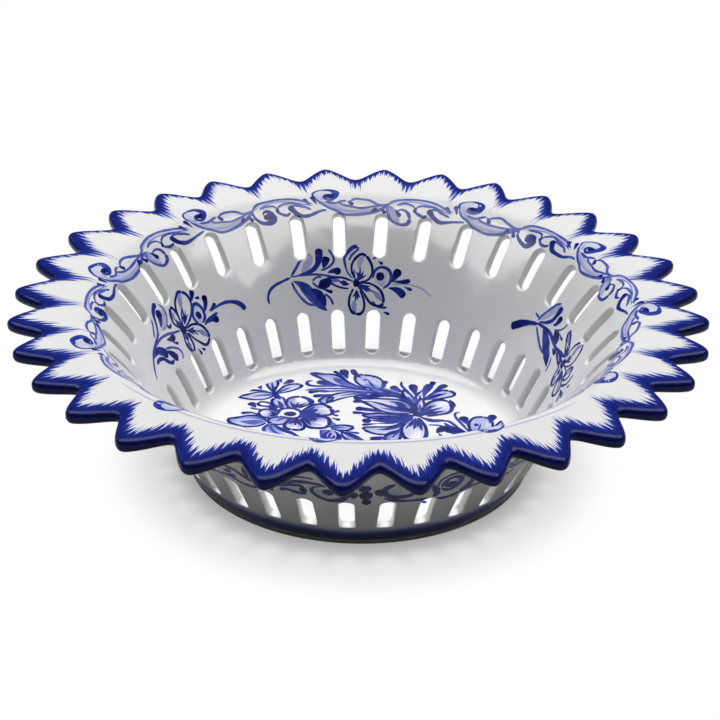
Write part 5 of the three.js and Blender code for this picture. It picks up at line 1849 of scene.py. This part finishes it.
def seen_directly(nodes):
    """1 for rays from the camera and through glass, a share for mirrored rays, and 0 for light that bounces
    between surfaces."""
    straight = nodes.math("MAXIMUM", nodes.node("LightPath", "Is Camera Ray"),
                          nodes.node("LightPath", "Is Transmission Ray"))
    mirrored = nodes.math("MULTIPLY", nodes.node("LightPath", "Is Glossy Ray"), MIRROR_SHARE)
    return nodes.math("MAXIMUM", straight, mirrored)


def white_table():
    """Flat square whose glow is a soft step of the distance from the bowl's axis, and whose own colour is
    white to the camera and dim to everything else."""
    half = GROUND_SIZE / 2
    mesh = bpy.data.meshes.new("white_table")
    corners = [(-half, -half, 0), (half, -half, 0), (half, half, 0), (-half, half, 0)]
    mesh.from_pydata(corners, [], [(0, 1, 2, 3)])
    table = in_scene("white_table", mesh)
    nodes = Nodes(bpy.data.materials.new("white_table"))
    seen = seen_directly(nodes)
    place = nodes.node("TexCoord", "Object")
    distance = nodes.node("VectorMath", "Value", {"operation": "LENGTH"}, Vector=place)
    # Painted light: the glow whitens the table away from the foot, over the bowl's shadow.
    glow = nodes.math("MULTIPLY", nodes.smooth(distance, GLOW_START, GLOW_WHOLE), seen)
    lit = nodes.math("MULTIPLY_ADD", seen, TABLE_WHITE - GROUND_BOUNCE, GROUND_BOUNCE)
    lit = nodes.math("MULTIPLY", lit, nodes.math("SUBTRACT", 1.0, glow))
    nodes.shade(
        Base_Color=nodes.node("CombineColor", 0, Red=lit, Green=lit, Blue=lit),
        Roughness=1.0,
        Specular_IOR_Level=0.0,
        Emission_Color=(1, 1, 1, 1),
        Emission_Strength=glow,
    )
    mesh.materials.append(nodes.owner)
    print("table", GROUND_SIZE, "m wide")


white_table()

# %% Light
SKY_FILL = 0.04                    # the room's light on the bowl
KEY_PLACE = (-0.05, 1.15, 2.40)    # in metres
KEY_SIZE = (1.8, 1.8)
KEY_WATTS = 85
PANEL_PLACE = (0.0, -0.22, 1.50)
PANEL_SIZE = (4.4, 1.3)
PANEL_WATTS = 100


def room():
    """Dim even light from above the table's edge, and white below it, where nothing is lit from."""
    world = bpy.data.worlds.new("room")
    bpy.context.scene.world = world
    nodes = Nodes(world, "Background")
    upward = nodes.node("SeparateXYZ", "Z", Vector=nodes.node("TexCoord", "Generated"))
    strength = nodes.math("MAXIMUM", nodes.math("LESS_THAN", upward, 0.0), SKY_FILL)
    nodes.shade(Color=(1, 1, 1, 1), Strength=strength)


def soft_lamp(name, place, size, watts):
    """Flat lamp that faces the middle of the bowl."""
    data = bpy.data.lights.new(name, "AREA")
    data.shape = "RECTANGLE"
    data.size, data.size_y = size
    data.energy = watts
    lamp = in_scene(name, data)
    lamp.location = place
    lamp.rotation_euler = (-Vector(place)).to_track_quat("-Z", "Y").to_euler()
    print(name, watts, "W")
    return lamp


room()
key = soft_lamp("overhead_key", KEY_PLACE, KEY_SIZE, KEY_WATTS)
key.visible_glossy = False
panel = soft_lamp("mirrored_panel", PANEL_PLACE, PANEL_SIZE, PANEL_WATTS)
panel.visible_diffuse = False
bpy.context.scene.view_settings.view_transform = "Standard"
